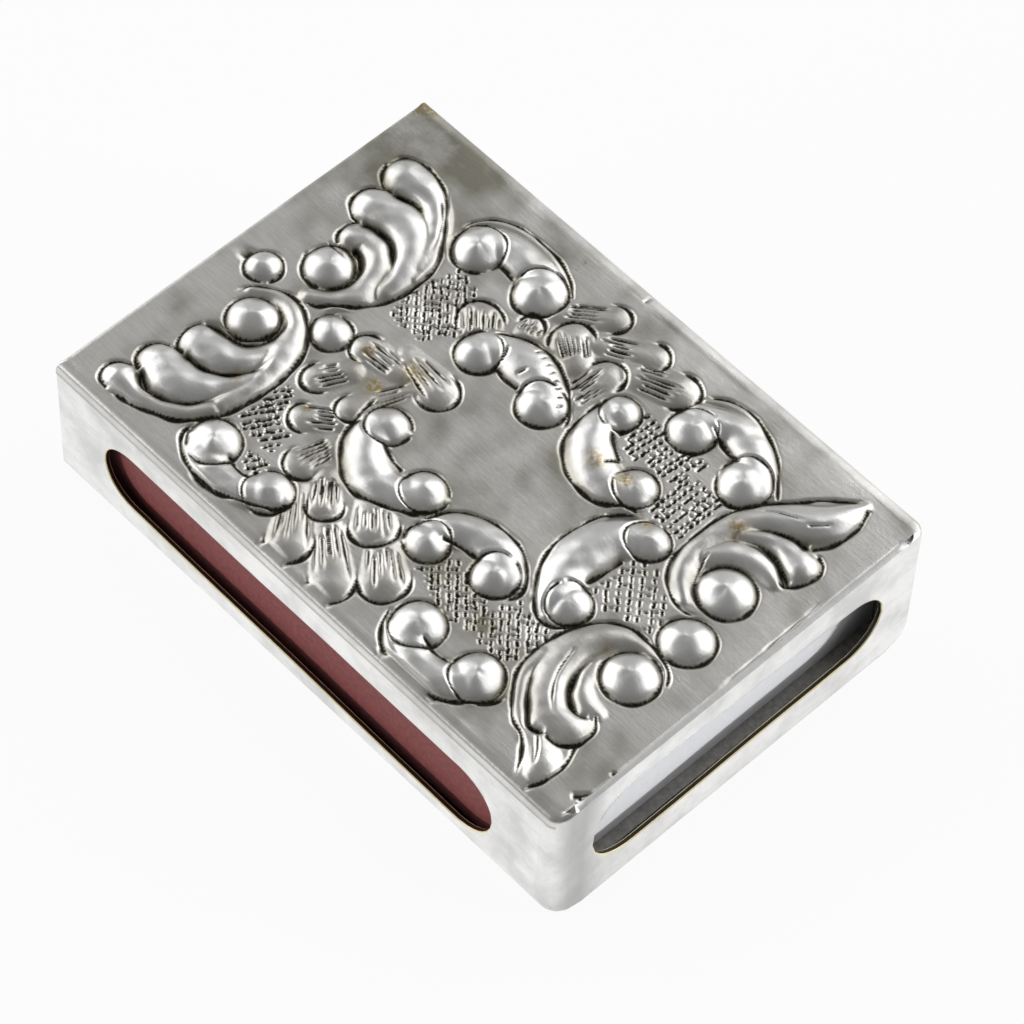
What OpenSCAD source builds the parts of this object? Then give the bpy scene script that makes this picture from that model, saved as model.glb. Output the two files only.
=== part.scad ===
// Matchbox holder: a five-sided sleeve of silver-plated brass sheet with an embossed rococo top.
// The matchbox slides in at the open end (-X). Long windows bare its striking strips, and a slot
// in the closed end (+X) lets a finger push the tray out. Origin on the table, under the middle.

/* [Matches] */
// Matches side by side in a layer
match_columns = 12; // [12:1:18]
// Thickness of a square matchstick
stick_t = 2.0; // [1.6:0.1:2.1]
// Length of a matchstick
stick_l = 42; // [36:0.5:44]
// Diameter of a match head
head_d = 2.5; // [2.2:0.05:3]
// Straight part of a match head between its round ends
head_run = 1.0; // [0.6:0.1:1.4]
// How far the stick reaches into its head
head_grip = 1.6; // [1:0.1:2]

/* [Matchbox] */
// Length of the card sleeve
box_l = 53; // [49:0.5:80]
// Thickness of the card
card = 0.5; // [0.3:0.05:0.6]
// Thickness of each striking strip
strip_t = 0.2; // [0.1:0.05:0.3]
// Bare card left above and below a striking strip
strip_margin = 0.6; // [0.5:0.1:2]

/* [Fits] */
// Gap between a match and what lies beside or under it
match_gap = 0.1; // [0.05:0.05:0.2]
// Room over the top layer of matches, up to the tray's rim
match_headroom = 0.3; // [0.1:0.1:2]
// Room beside the outer matches, out to the tray's wall
match_side_room = 1.25; // [0.1:0.05:4]
// Gap between a striking strip and the case's long side
side_gap = 0.8; // [0.3:0.1:2]
// Gap between the card sleeve and the embossed top
top_gap = 0.5; // [0.2:0.1:1]
// Gap under the card sleeve
floor_gap = 0.1; // [0.05:0.05:0.3]
// Gap between the closed end's sheet and the card sleeve
end_gap = 0.9; // [0.3:0.1:2]
// How far the card sleeve's end lies inside the case's open end
mouth_inset = 1.6; // [0.5:0.1:4]
// Gap between the card sleeve and the tray on each side
tray_gap = 0.2; // [0.1:0.05:0.4]
// How far the tray's end lies inside the card sleeve's end at the push slot
tray_inset = 1.0; // [0.2:0.1:1.5]

/* [Case] */
// Thickness of the plated sheet
sheet = 0.5; // [0.3:0.05:0.7]
// Outside radius of the folds along the bottom
fold_r = 1.8; // [0.9:0.1:2.6]
// Outside radius of the long upper edges
edge_r = 1.0; // [0.8:0.1:1.6]
// Outside radius of the upright corners at the closed end
corner_r = 1.3; // [0.9:0.1:2]
// How far the closed end's returns run along the long sides, past the corner
return_run = 0.6; // [0.2:0.1:2]

/* [Side windows] */
// Length of the window in each long side
window_l = 43.8; // [30:0.2:46]
// Height of the window at its middle
window_h = 7.1; // [5:0.1:8]
// How much higher the window is at its closed end than at its open end
window_taper = 0.8; // [0:0.1:1]
// How far the window's middle line lies below the matchbox's
window_drop = 0.2; // [-0.4:0.1:0.6]
// How far that line falls from the window's open end to its closed end
window_lean = 0.7; // [0:0.1:0.8]
// How far the window lies off the middle, toward the open end
window_shift = 0.8; // [0:0.1:1.2]

/* [Push slot] */
// Length of the slot in the closed end
slot_l = 30.8; // [20:0.2:32]
// Height of the slot at its middle
slot_h = 8.1; // [6:0.1:8.6]
// How much higher the slot is filed at its front end than at its back end
slot_taper = 1.6; // [0:0.1:1.8]
// How far the slot's middle line lies above the matchbox's
slot_lift = 0.1; // [-0.3:0.1:0.4]
// How far that line falls from the slot's front end to its back end
slot_lean = 0.5; // [0:0.1:0.8]

/* [Embossing] */
// Height of the round bosses as a share of their radius
boss_ratio = 0.45; // [0.3:0.01:0.6]
// Height of the scroll bodies and leaves as a share of their half width
leaf_ratio = 0.42; // [0.3:0.01:0.6]
// Height of the shell petals and feathers as a share of their half width
petal_ratio = 0.3; // [0.2:0.01:0.5]
// Height of the raised rims as a share of their half width
rim_ratio = 0.7; // [0.4:0.05:1]
// Length on the plate of one unit of the ornament's drawing
pattern_unit = 1; // [0.85:0.01:1]
// How far the ornament is struck off the middle, along the plate
pattern_x = -0.3; // [-0.5:0.1:0]
// How far the ornament is struck off the middle, across the plate
pattern_y = 0.3; // [-0.3:0.1:0.3]
// Plain strip of the top at the open end
plain_open = 2.3; // [1.5:0.1:2.5]
// Plain strip of the top at the closed end
plain_closed = 2.5; // [1.5:0.1:2.6]
// Plain margin kept clear of embossing along the edges
margin = 0.35; // [0.2:0.05:1]

/* [Hidden] */

// Layers of matches in the tray, each a node of its own
match_layers = 4;
// How far a cutting shape runs past what it cuts
over = 5;
silver = [0.78, 0.78, 0.76];
paper_white = [0.9, 0.91, 0.94];
board_grey = [0.55, 0.54, 0.52];
striker_red = [0.45, 0.25, 0.25];
aspen = [0.86, 0.75, 0.56];
head_brown = [0.36, 0.13, 0.1];

// Places that follow from the sizes above
match_pitch_y = head_d + match_gap;
match_pitch_z = head_d + match_gap;
tray_w = match_columns * match_pitch_y - match_gap + 2 * (match_side_room + card);
tray_h = card + match_layers * match_pitch_z + match_headroom;
box_w = tray_w + 2 * (tray_gap + card);
box_h = tray_h + 2 * (tray_gap + card);
strip_h = box_h - 2 * strip_margin;
case_l = box_l + mouth_inset + end_gap + sheet;
case_w = box_w + 2 * (strip_t + side_gap + sheet);
case_h = box_h + floor_gap + top_gap + 2 * sheet;
end_x = case_l / 2;
side_y = case_w / 2;
seam_x = end_x - corner_r - return_run;
seam_z = case_h - edge_r;
box_end_x = end_x - sheet - end_gap;
box_mid_x = box_end_x - box_l / 2;
box_z = sheet + floor_gap;
tray_l = box_l - tray_inset;
tray_end_x = box_end_x - tray_inset;
tray_mid_x = tray_end_x - tray_l / 2;
tray_z = box_z + card + tray_gap;
window_z = box_z + box_h / 2 - window_drop;
slot_z = box_z + box_h / 2 + slot_lift;
match_head_x = tray_mid_x - tray_l / 2 + card + match_gap;

fold_faces = 24;

// Spacing of the points that draw the ornament, and where they begin and end along the plate
relief_step = 0.7;
relief_x0 = plain_open - end_x;
relief_x1 = end_x - plain_closed;
// Steps round a long edge and round an upright corner
edge_steps = 5;
corner_steps = 3;

// The ornament is drawn in units of pattern_unit, from its own middle.
// Round bosses: place along the plate, place across it, radius
bosses = [
  [-20.5, 2.1, 2.2], [-24.0, -1.6, 1.6], [-15.7, -2.0, 1.8], [-20.8, -5.6, 2.2],
  [-13.9, 12.0, 2.3], [-7.5, 12.5, 2.3], [-6.6, 5.1, 2.0], [0.3, 5.2, 2.1],
  [4.9, 9.2, 1.75], [10.7, 5.2, 1.9], [9.8, 12.1, 2.1], [16.0, 11.6, 2.3],
  [14.8, 2.5, 1.85], [14.9, -5.8, 1.9], [-6.2, -4.8, 1.9], [0.1, -6.9, 2.0],
  [3.6, -9.8, 1.9], [9.3, -8.2, 2.0], [-14.0, -15.6, 2.3], [-7.8, -15.6, 2.1],
  [8.6, -15.4, 2.3], [14.9, -15.3, 2.3], [22.1, 3.6, 2.45], [23.2, -1.6, 2.3],
  [22.6, -6.9, 2.4]
];

// C-scrolls: the body that joins two bosses, with its half width at each point
scrolls = [
  [[-13.9, 12.8, 1.9], [-12.3, 13.7, 1.7], [-10.7, 13.8, 1.75], [-9.1, 13.8, 1.7], [-7.5, 13.2, 1.9]],
  [[-6.4, 6.0, 1.9], [-4.8, 6.9, 1.8], [-3.0, 7.0, 2.1], [-1.2, 6.6, 1.9], [0.6, 5.8, 1.9]],
  [[4.6, 8.6, 1.5], [4.8, 6.6, 1.7], [6.0, 5.1, 2.0], [7.7, 4.1, 1.9], [9.5, 4.0, 1.8], [11.0, 4.8, 1.6]],
  [[9.7, 13.2, 1.9], [11.8, 14.6, 1.6], [13.7, 14.4, 1.7], [15.5, 13.3, 1.9], [16.5, 12.0, 1.9]],
  [[14.2, 2.3, 1.8], [12.8, 0.6, 2.0], [12.4, -1.6, 2.1], [12.6, -3.8, 1.9], [13.7, -5.9, 2.0]],
  [[-6.6, -5.2, 1.9], [-6.1, -7.0, 1.8], [-4.6, -8.4, 1.9], [-2.6, -8.9, 1.8], [-0.7, -8.2, 1.7],
    [0.3, -7.0, 1.9]],
  [[3.5, -8.9, 1.7], [4.4, -7.3, 1.7], [6.3, -6.5, 1.7], [8.3, -6.6, 1.8], [9.6, -7.7, 1.9]],
  [[-14.0, -16.4, 1.9], [-12.4, -17.1, 1.5], [-10.9, -17.2, 1.35], [-9.3, -16.8, 1.5], [-7.9, -15.9, 1.9]],
  [[8.6, -16.1, 1.9], [10.0, -17.3, 1.6], [11.6, -17.6, 1.5], [13.3, -17.2, 1.6], [14.9, -16.0, 1.9]]
];

// Acanthus fingers of the four corner leaves, from the tip of each into its stem
fingers = [
  [[-23.0, 12.6, 1.9], [-21.0, 12.75, 1.65], [-19.3, 12.2, 1.35], [-17.7, 10.9, 1.25], [-16.6, 9.2, 1.2],
    [-15.9, 7.2, 1.1]],
  [[-22.5, 8.9, 1.9], [-20.3, 9.3, 1.95], [-18.5, 8.9, 1.85], [-17.0, 7.5, 1.6], [-16.1, 5.6, 1.35],
    [-15.8, 3.8, 1.0]],
  [[-21.1, 4.5, 0.6], [-21.4, 5.6, 1.2], [-19.6, 6.0, 1.25], [-18.2, 5.2, 1.25], [-17.4, 3.5, 1.1],
    [-17.0, 1.8, 1.2], [-17.9, 0.2, 1.0], [-19.5, -0.9, 0.8]],
  [[-23.0, -3.8, 0.5], [-21.2, -2.7, 0.6], [-19.2, -2.9, 0.8], [-17.6, -4.2, 1.1], [-16.8, -6.0, 1.5],
    [-16.2, -8.2, 1.25], [-16.0, -10.4, 1.1], [-16.4, -12.8, 1.0]],
  [[-21.9, -10.1, 1.75], [-20.0, -9.9, 1.8], [-18.4, -9.0, 1.5], [-17.6, -7.4, 1.1], [-17.5, -5.9, 0.9]],
  [[-22.5, -13.6, 1.8], [-20.6, -13.8, 2.05], [-18.8, -13.1, 1.8], [-17.4, -11.4, 1.3], [-16.4, -9.6, 1.1]],
  [[-23.6, -16.9, 1.45], [-21.6, -17.0, 1.0], [-19.6, -16.5, 0.95], [-17.8, -15.4, 0.95], [-16.6, -13.7, 1.0]],
  [[23.7, 17.0, 0.4], [23.4, 15.2, 1.3], [22.6, 13.4, 1.8], [21.0, 12.0, 1.7], [19.3, 10.6, 1.3],
    [18.2, 8.6, 1.2], [17.8, 6.4, 1.0], [17.8, 4.4, 0.95], [18.6, 2.3, 0.85], [20.3, 0.9, 0.55]],
  [[24.2, 9.4, 1.5], [22.5, 9.7, 1.25], [20.8, 9.4, 1.0], [19.2, 8.2, 0.8]],
  [[23.8, 7.0, 0.75], [21.9, 7.2, 1.15], [20.0, 6.6, 1.25], [18.8, 5.0, 0.95]],
  [[22.6, -13.2, 1.7], [20.8, -13.3, 1.75], [19.1, -12.0, 1.7], [18.1, -9.9, 1.6], [17.9, -7.6, 1.5],
    [18.9, -5.5, 1.2], [20.9, -4.4, 0.65], [23.2, -4.5, 0.5]],
  [[23.8, -18.4, 0.6], [23.4, -16.7, 1.4], [21.8, -15.9, 1.2], [20.0, -15.4, 0.85], [18.3, -14.1, 0.75],
    [17.1, -12.2, 0.7], [16.8, -10.2, 0.7]],
  [[23.2, -10.9, 0.7], [21.8, -10.8, 0.9], [20.6, -9.9, 0.8], [20.0, -8.2, 0.7]]
];

// Shell petals and feathers, from the root of each to its round end
petals = [
  [[-5.0, 13.9, 0.9], [-3.8, 14.8, 1.4], [-2.6, 15.1, 1.35]],
  [[-0.9, 13.6, 0.9], [0.6, 14.8, 1.3], [1.9, 15.2, 1.1]],
  [[3.8, 13.3, 1.0], [5.4, 14.2, 1.6], [6.6, 14.4, 1.5]],
  [[-2.4, 9.2, 1.1], [-2.5, 10.2, 1.4], [-2.7, 11.5, 1.55]],
  [[2.0, 8.2, 0.9], [1.4, 9.6, 1.3], [1.2, 11.0, 1.45]],
  [[-4.8, 9.6, 0.9], [-5.6, 10.7, 1.1]],
  [[-8.0, 7.0, 1.1], [-9.3, 7.8, 1.4]],
  [[-11.9, 1.5, 0.9], [-12.4, 0.9, 1.3], [-12.9, -0.7, 1.3]],
  [[-12.0, -3.8, 1.0], [-12.7, -4.6, 1.3], [-13.6, -5.6, 1.4]],
  [[-9.6, -7.1, 1.0], [-10.4, -7.8, 1.3], [-11.6, -8.7, 1.4]],
  [[-7.8, -9.2, 1.0], [-8.0, -10.2, 1.4], [-8.4, -11.6, 1.5]],
  [[-4.4, -11.3, 1.2], [-4.2, -12.6, 1.5]],
  [[0.2, -10.4, 0.9], [-0.3, -11.1, 1.3], [-0.5, -12.1, 1.5]],
  [[-9.4, -0.6, 1.4], [-7.8, -0.2, 1.8], [-6.5, -0.1, 1.8]],
  [[-10.6, -2.4, 0.9], [-10.0, -4.0, 1.2], [-9.7, -5.5, 1.0]],
  [[-5.2, -15.4, 1.0], [-4.0, -16.6, 1.5], [-3.3, -17.2, 1.5]],
  [[-1.9, -14.6, 1.0], [-0.2, -15.9, 1.6], [1.0, -16.7, 1.5]],
  [[2.4, -13.0, 1.1], [3.8, -14.3, 1.6], [4.6, -15.3, 1.4]]
];

// Raised rims that follow the outer edges of the scrolls and of one leaf
rims = [
  [[-19.8, 13.6, 0.5], [-18.0, 12.2, 0.6], [-16.6, 10.4, 0.6], [-15.5, 8.4, 0.6], [-15.1, 6.2, 0.55]],
  [[-15.9, 13.0, 0.5], [-14.9, 14.5, 0.6], [-13.0, 15.4, 0.6], [-10.8, 15.6, 0.6], [-8.3, 15.2, 0.6],
    [-6.1, 14.1, 0.5]],
  [[8.6, 14.9, 0.5], [10.2, 15.9, 0.6], [12.3, 16.1, 0.6], [14.8, 15.2, 0.6], [16.7, 14.0, 0.6],
    [18.1, 12.5, 0.5]],
  [[11.0, 1.6, 0.5], [10.7, -0.6, 0.6], [10.7, -2.8, 0.6], [11.5, -5.1, 0.6], [12.9, -7.0, 0.6],
    [14.4, -7.7, 0.5]],
  [[-15.9, -16.5, 0.5], [-14.2, -17.8, 0.6], [-11.6, -18.3, 0.6], [-9.2, -17.6, 0.6], [-7.0, -16.6, 0.5]],
  [[6.9, -16.8, 0.5], [8.6, -18.2, 0.6], [11.1, -18.7, 0.6], [13.8, -18.2, 0.6], [16.1, -16.7, 0.5]]
];

// A rectangle with its own radius at the lower and the upper corners, standing on the first axis
module rounded_outline(width, height, low_r, high_r) {
  for (side = [-1, 1]) {
    translate([side * (width / 2 - low_r), low_r])
      circle(r = low_r, $fn = fold_faces);
    translate([side * (width / 2 - high_r), height - high_r])
      circle(r = high_r, $fn = fold_faces);
  }
  translate([-width / 2, low_r])
    square([width, height - low_r - high_r]);
  translate([-(width / 2 - low_r), 0])
    square([width - 2 * low_r, low_r]);
  translate([-(width / 2 - high_r), height - high_r])
    square([width - 2 * high_r, high_r]);
}

// Lays an outline drawn as width and height across the case and draws it out along the length
module along_case(from, to) {
  translate([from, 0, 0])
    rotate([90, 0, 90])
      linear_extrude(to - from)
        children();
}

// The case filled solid, drawn in on every face but the open end by inset
module envelope(inset, open_run) {
  intersection() {
    along_case(-end_x - open_run, end_x - inset)
      translate([0, inset])
        rounded_outline(case_w - 2 * inset, case_h - 2 * inset, fold_r - inset, edge_r - inset);
    translate([0, 0, -over])
      linear_extrude(case_h + 2 * over) {
        reach = side_y - inset;
        corner = corner_r - inset;
        translate([-end_x - 2 * over, -reach])
          square([2 * end_x + 2 * over - inset - corner, 2 * reach]);
        translate([0, -(reach - corner)])
          square([end_x - inset, 2 * (reach - corner)]);
        for (side = [-1, 1])
          translate([end_x - inset - corner, side * (reach - corner)])
            circle(r = corner, $fn = fold_faces);
      }
  }
}

module shell() {
  difference() {
    envelope(0, 0);
    envelope(sheet, over);
  }
}

// A block across the whole case between two places along it and two heights
module slab(x0, x1, z0, z1) {
  translate([x0, -side_y - over, z0])
    cube([x1 - x0, case_w + 2 * over, z1 - z0]);
}

// A hand-cut slot: round ends of their own heights, h0 at z0 and h1 at z1, joined by straight edges
module hand_cut(length, h0, h1, z0, z1) {
  r0 = h0 / 2;
  r1 = h1 / 2;
  polygon(concat(
    [for (a = [90 : 7.5 : 270]) [-length / 2 + r0 + r0 * cos(a), z0 + r0 * sin(a)]],
    [for (a = [-90 : 7.5 : 90]) [length / 2 - r1 + r1 * cos(a), z1 + r1 * sin(a)]]
  ));
}

module window_cut() {
  translate([-window_shift, 0, window_z])
    rotate([90, 0, 0])
      linear_extrude(case_w + 2 * over, center = true)
        hand_cut(
          window_l, window_h - window_taper / 2, window_h + window_taper / 2,
          window_lean / 2, -window_lean / 2
        );
}

module slot_cut() {
  along_case(end_x - sheet - over, end_x + over)
    translate([0, slot_z])
      hand_cut(slot_l, slot_h + slot_taper / 2, slot_h - slot_taper / 2, slot_lean / 2, -slot_lean / 2);
}

// Where the closed end is: its face, and the returns round the upright corners
module end_zone() {
  slab(end_x - sheet, end_x + over, -over, case_h + over);
  slab(seam_x, end_x, fold_r, seam_z);
}

module body_channel() {
  color(silver)
    difference() {
      intersection() {
        shell();
        slab(-end_x - over, end_x, -over, seam_z);
      }
      end_zone();
      window_cut();
    }
}

module end_plate() {
  color(silver)
    difference() {
      intersection() {
        shell();
        end_zone();
      }
      slot_cut();
    }
}

// Every boss, scroll, finger, petal and rim as straight runs: [start, end, rise], a start or an
// end being place along the plate, place across it and half width, in the drawing's units
function runs(path, rise) = [for (i = [0 : len(path) - 2]) [path[i], path[i + 1], rise]];

relief_runs = concat(
  [for (b = bosses) [b, b, boss_ratio]],
  [for (path = concat(scrolls, fingers)) each runs(path, leaf_ratio)],
  [for (path = petals) each runs(path, petal_ratio)],
  [for (path = rims) each runs(path, rim_ratio)]
);

function reach_of(run) = max(run[0][2], run[1][2]);

// The runs whose width takes in the line at place v along axis k
function runs_near(list, k, v) = [
  for (run = list)
    if (v > min(run[0][k], run[1][k]) - reach_of(run) && v < max(run[0][k], run[1][k]) + reach_of(run))
      run
];

// How far along a run a point lies, from 0 at its start to 1 at its end
function share_along(p, run) =
  let (
    dx = run[1][0] - run[0][0],
    dy = run[1][1] - run[0][1],
    length_squared = dx * dx + dy * dy
  )
  length_squared == 0
    ? 0
    : max(0, min(1, ((p[0] - run[0][0]) * dx + (p[1] - run[0][1]) * dy) / length_squared));

// Height of one run's back over the plate at a point: across the run it is an arc that rises, at
// its middle, by the run's share of the half width
function run_height(p, run) =
  let (
    share = share_along(p, run),
    near = run[0] + share * (run[1] - run[0]),
    squared = near[2] * near[2] - (p[0] - near[0]) * (p[0] - near[0]) - (p[1] - near[1]) * (p[1] - near[1]),
    drop = near[2] * (1 - run[2] * run[2]) / (2 * run[2])
  )
  squared > 0 ? sqrt(drop * drop + squared) - drop : 0;

function relief_height(p, list) = max([0, for (run = list) run_height(p, run)]);

// The plate is drawn as cross sections from the open end to the closed end, each a row of outer
// points over the edges and the embossed face, and a row of inner points under the sheet
corner_x = end_x - corner_r;
section_x = [
  -end_x,
  for (x = [relief_x0 : relief_step : relief_x1]) x,
  for (step = [0 : corner_steps]) corner_x + (corner_r - sheet) * step / corner_steps
];
face_cells = round(2 * (side_y - edge_r) / relief_step);
outer_count = 2 * edge_steps + face_cells + 1;
inner_count = 2 * (edge_steps + 1);
section_count = outer_count + inner_count;

// Half the width of the flat face at a place along the case, drawn in round the upright corners
function face_reach(x) =
  let (past = max(0, x - corner_x))
  side_y - edge_r - corner_r + sqrt(corner_r * corner_r - past * past);

// Points of a section's rounded edge: side is -1 or 1, and step counts up from the seam
function edge_point(side, reach, radius, step) =
  let (angle = 90 * step / edge_steps)
  [side * (reach + radius * cos(angle)), case_h - edge_r + radius * sin(angle)];

function outer_outline(reach) = concat(
  [for (step = [0 : edge_steps]) edge_point(-1, reach, edge_r, step)],
  [for (i = [1 : face_cells - 1]) [-reach + 2 * reach * i / face_cells, case_h]],
  [for (step = [edge_steps : -1 : 0]) edge_point(1, reach, edge_r, step)]
);

function inner_outline(reach) = concat(
  [for (step = [0 : edge_steps]) edge_point(-1, reach, edge_r - sheet, step)],
  [for (step = [edge_steps : -1 : 0]) edge_point(1, reach, edge_r - sheet, step)]
);

// One section's points, with the ornament raised on its outer ones inside the margin
function section_points(x) =
  let (
    px = (x - pattern_x) / pattern_unit,
    near_x = runs_near(relief_runs, 0, px)
  )
  concat(
    [
      for (q = outer_outline(face_reach(x)))
        let (py = (q[0] - pattern_y) / pattern_unit)
        [
          x,
          q[0],
          abs(q[0]) < side_y - margin
            ? q[1] + pattern_unit * relief_height([px, py], runs_near(near_x, 1, py))
            : q[1]
        ]
    ],
    [for (q = inner_outline(face_reach(x))) [x, q[0], q[1]]]
  );

// Two triangles over a cell, split along the diagonal whose ends are nearer in height
function cell(points, a, b, c, d) =
  abs(points[a][2] - points[c][2]) < abs(points[b][2] - points[d][2])
    ? [[a, b, c], [a, c, d]]
    : [[a, b, d], [b, c, d]];

// The strip of triangles that closes the end whose first point is number base
function cap_faces(base) =
  let (
    inner = base + outer_count,
    last = base + outer_count - 1,
    inner_last = inner + inner_count - 1,
    middle = base + floor(outer_count / 2)
  )
  concat(
    [
      for (k = [0 : edge_steps - 1])
        each [[base + k, inner + k, base + k + 1], [base + k + 1, inner + k, inner + k + 1]]
    ],
    [for (k = [base + edge_steps : middle - 1]) [k, inner + edge_steps, k + 1]],
    [[middle, inner + edge_steps, inner + edge_steps + 1]],
    [for (k = [middle : last - edge_steps - 1]) [k, inner + edge_steps + 1, k + 1]],
    [
      for (k = [0 : edge_steps - 1])
        each [[last - k, last - k - 1, inner_last - k], [last - k - 1, inner_last - k - 1, inner_last - k]]
    ]
  );

function flipped(faces) = [for (f = faces) [f[2], f[1], f[0]]];

module embossed_top() {
  points = [for (x = section_x) each section_points(x)];
  sections = len(section_x);
  skin = [
    for (s = [0 : sections - 2])
      let (
        a = s * section_count,
        b = a + section_count,
        under = a + outer_count,
        under_b = b + outer_count,
        top_last = outer_count - 1,
        under_last = inner_count - 1
      )
      each concat(
        [for (k = [0 : outer_count - 2]) each cell(points, a + k, a + k + 1, b + k + 1, b + k)],
        [for (k = [0 : inner_count - 2])
          each cell(points, under + k, under_b + k, under_b + k + 1, under + k + 1)],
        cell(points, a, b, under_b, under),
        cell(points, a + top_last, under + under_last, under_b + under_last, b + top_last)
      )
  ];
  color(silver)
    polyhedron(points, concat(skin, cap_faces(0), flipped(cap_faces((sections - 1) * section_count))));
}

module matchbox_sleeve() {
  bend_r = card;
  color(board_grey)
    difference() {
      along_case(box_end_x - box_l, box_end_x)
        translate([0, box_z])
          rounded_outline(box_w, box_h, bend_r, bend_r);
      along_case(box_end_x - box_l - over, box_end_x + over)
        translate([-(box_w / 2 - card), box_z + card])
          square([box_w - 2 * card, box_h - 2 * card]);
    }
}

// side is -1 for the front strip and 1 for the back one
module striker_strip(side) {
  color(striker_red)
    translate([box_mid_x, side * (box_w + strip_t) / 2, box_z + box_h / 2])
      cube([box_l, strip_t, strip_h], center = true);
}

module matchbox_tray() {
  color(paper_white)
    difference() {
      translate([tray_mid_x - tray_l / 2, -tray_w / 2, tray_z])
        cube([tray_l, tray_w, tray_h]);
      translate([tray_mid_x - tray_l / 2 + card, -tray_w / 2 + card, tray_z + card])
        cube([tray_l - 2 * card, tray_w - 2 * card, tray_h]);
    }
}

// Height of the middle line of the matches in a layer, counted from 1 at the bottom
function layer_z(layer) = tray_z + card + match_gap + head_d / 2 + (layer - 1) * match_pitch_z;

function column_y(column) = (column - (match_columns - 1) / 2) * match_pitch_y;

// Where the sticks of a layer begin, inside their heads
stick_x = match_head_x + head_d + head_run - head_grip;

module stick(column, layer) {
  translate([stick_x, column_y(column) - stick_t / 2, layer_z(layer) - stick_t / 2])
    cube([stick_l, stick_t, stick_t]);
}

module match_sticks(layer) {
  color(aspen)
    for (column = [0 : match_columns - 1])
      stick(column, layer);
}

module match_heads(layer) {
  color(head_brown)
    for (column = [0 : match_columns - 1])
      difference() {
        translate([match_head_x + head_d / 2, column_y(column), layer_z(layer)])
          rotate([0, 90, 0]) {
            sphere(d = head_d, $fn = 24);
            cylinder(d = head_d, h = head_run, $fn = 24);
            translate([0, 0, head_run])
              sphere(d = head_d, $fn = 24);
          }
        stick(column, layer);
      }
}

body_channel();
end_plate();
embossed_top();
matchbox_sleeve();
striker_strip(-1);  // striker_strip_front
striker_strip(1);  // striker_strip_back
matchbox_tray();
match_sticks(1);  // match_sticks_layer_1
match_sticks(2);  // match_sticks_layer_2
match_sticks(3);  // match_sticks_layer_3
match_sticks(4);  // match_sticks_layer_4
match_heads(1);  // match_heads_layer_1
match_heads(2);  // match_heads_layer_2
match_heads(3);  // match_heads_layer_3
match_heads(4);  // match_heads_layer_4
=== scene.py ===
"""Looks of the matchbox holder: silver-plated sheet with a chased top, round a card matchbox."""

import math

import bmesh
import bpy
import numpy as np
from mathutils import Matrix, Vector

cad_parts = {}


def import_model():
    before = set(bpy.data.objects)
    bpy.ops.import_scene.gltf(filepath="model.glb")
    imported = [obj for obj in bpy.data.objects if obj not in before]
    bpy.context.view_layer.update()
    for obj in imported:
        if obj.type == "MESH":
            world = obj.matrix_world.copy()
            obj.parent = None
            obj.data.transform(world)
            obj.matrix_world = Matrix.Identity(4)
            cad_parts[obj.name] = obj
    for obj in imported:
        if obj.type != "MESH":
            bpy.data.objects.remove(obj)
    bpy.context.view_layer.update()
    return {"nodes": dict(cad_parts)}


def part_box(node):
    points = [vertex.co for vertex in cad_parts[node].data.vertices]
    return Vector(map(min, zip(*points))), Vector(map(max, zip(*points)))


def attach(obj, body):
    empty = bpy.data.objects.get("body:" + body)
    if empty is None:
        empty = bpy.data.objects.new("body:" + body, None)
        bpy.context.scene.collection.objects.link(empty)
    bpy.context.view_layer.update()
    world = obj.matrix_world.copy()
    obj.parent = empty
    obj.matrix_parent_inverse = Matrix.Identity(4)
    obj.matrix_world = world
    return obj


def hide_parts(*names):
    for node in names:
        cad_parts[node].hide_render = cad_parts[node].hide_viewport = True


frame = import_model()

MM = 0.001
rng = np.random.default_rng(11)

# ---------------------------------------------------------------- sizes, in millimetres


def cad(name):
    """Lowest and highest corner of a CAD node, in millimetres."""
    low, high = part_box(name)
    return np.array(low) / MM, np.array(high) / MM


plate_low, plate_high = cad("embossed_top")
END_X, SIDE_Y, TOP_Z = cad("end_plate")[1]
SHEET = END_X - plate_high[0]
SEAM_Z = plate_low[2]  # the long edges of the top plate meet the sides here
EDGE_R = TOP_Z - SEAM_Z  # the fold along them
SEAM_X = 26.1  # the returns of the end plate stop here
FOLD_R = 1.8  # the folds along the underside
CORNER_R = 1.3  # the upright corners of the end plate
CUT_R = 0.16  # the rounding of the top plate's edge at the open end
DISH = 0.16  # how far the end plate is pushed in round the slot
# The window's and the slot's cut edges lie between these heights, and within this much of the middle
RIM_LOW, RIM_HIGH = FOLD_R + 0.4, SEAM_Z - 0.6
WINDOW_X, SLOT_Y = 24.5, 17

# ---------------------------------------------------------------- the ornament's drawing
# Lengths are in millimetres from the ornament's own middle, which lies off the plate's.

ORNAMENT_AT = (-0.3, 0.3)
# How far each kind of form rises, as a share of its half width
RISE_BOSS, RISE_LEAF, RISE_LOW_LEAF, RISE_PETAL, RISE_RIM = 0.45, 0.42, 0.27, 0.17, 0.7

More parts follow.
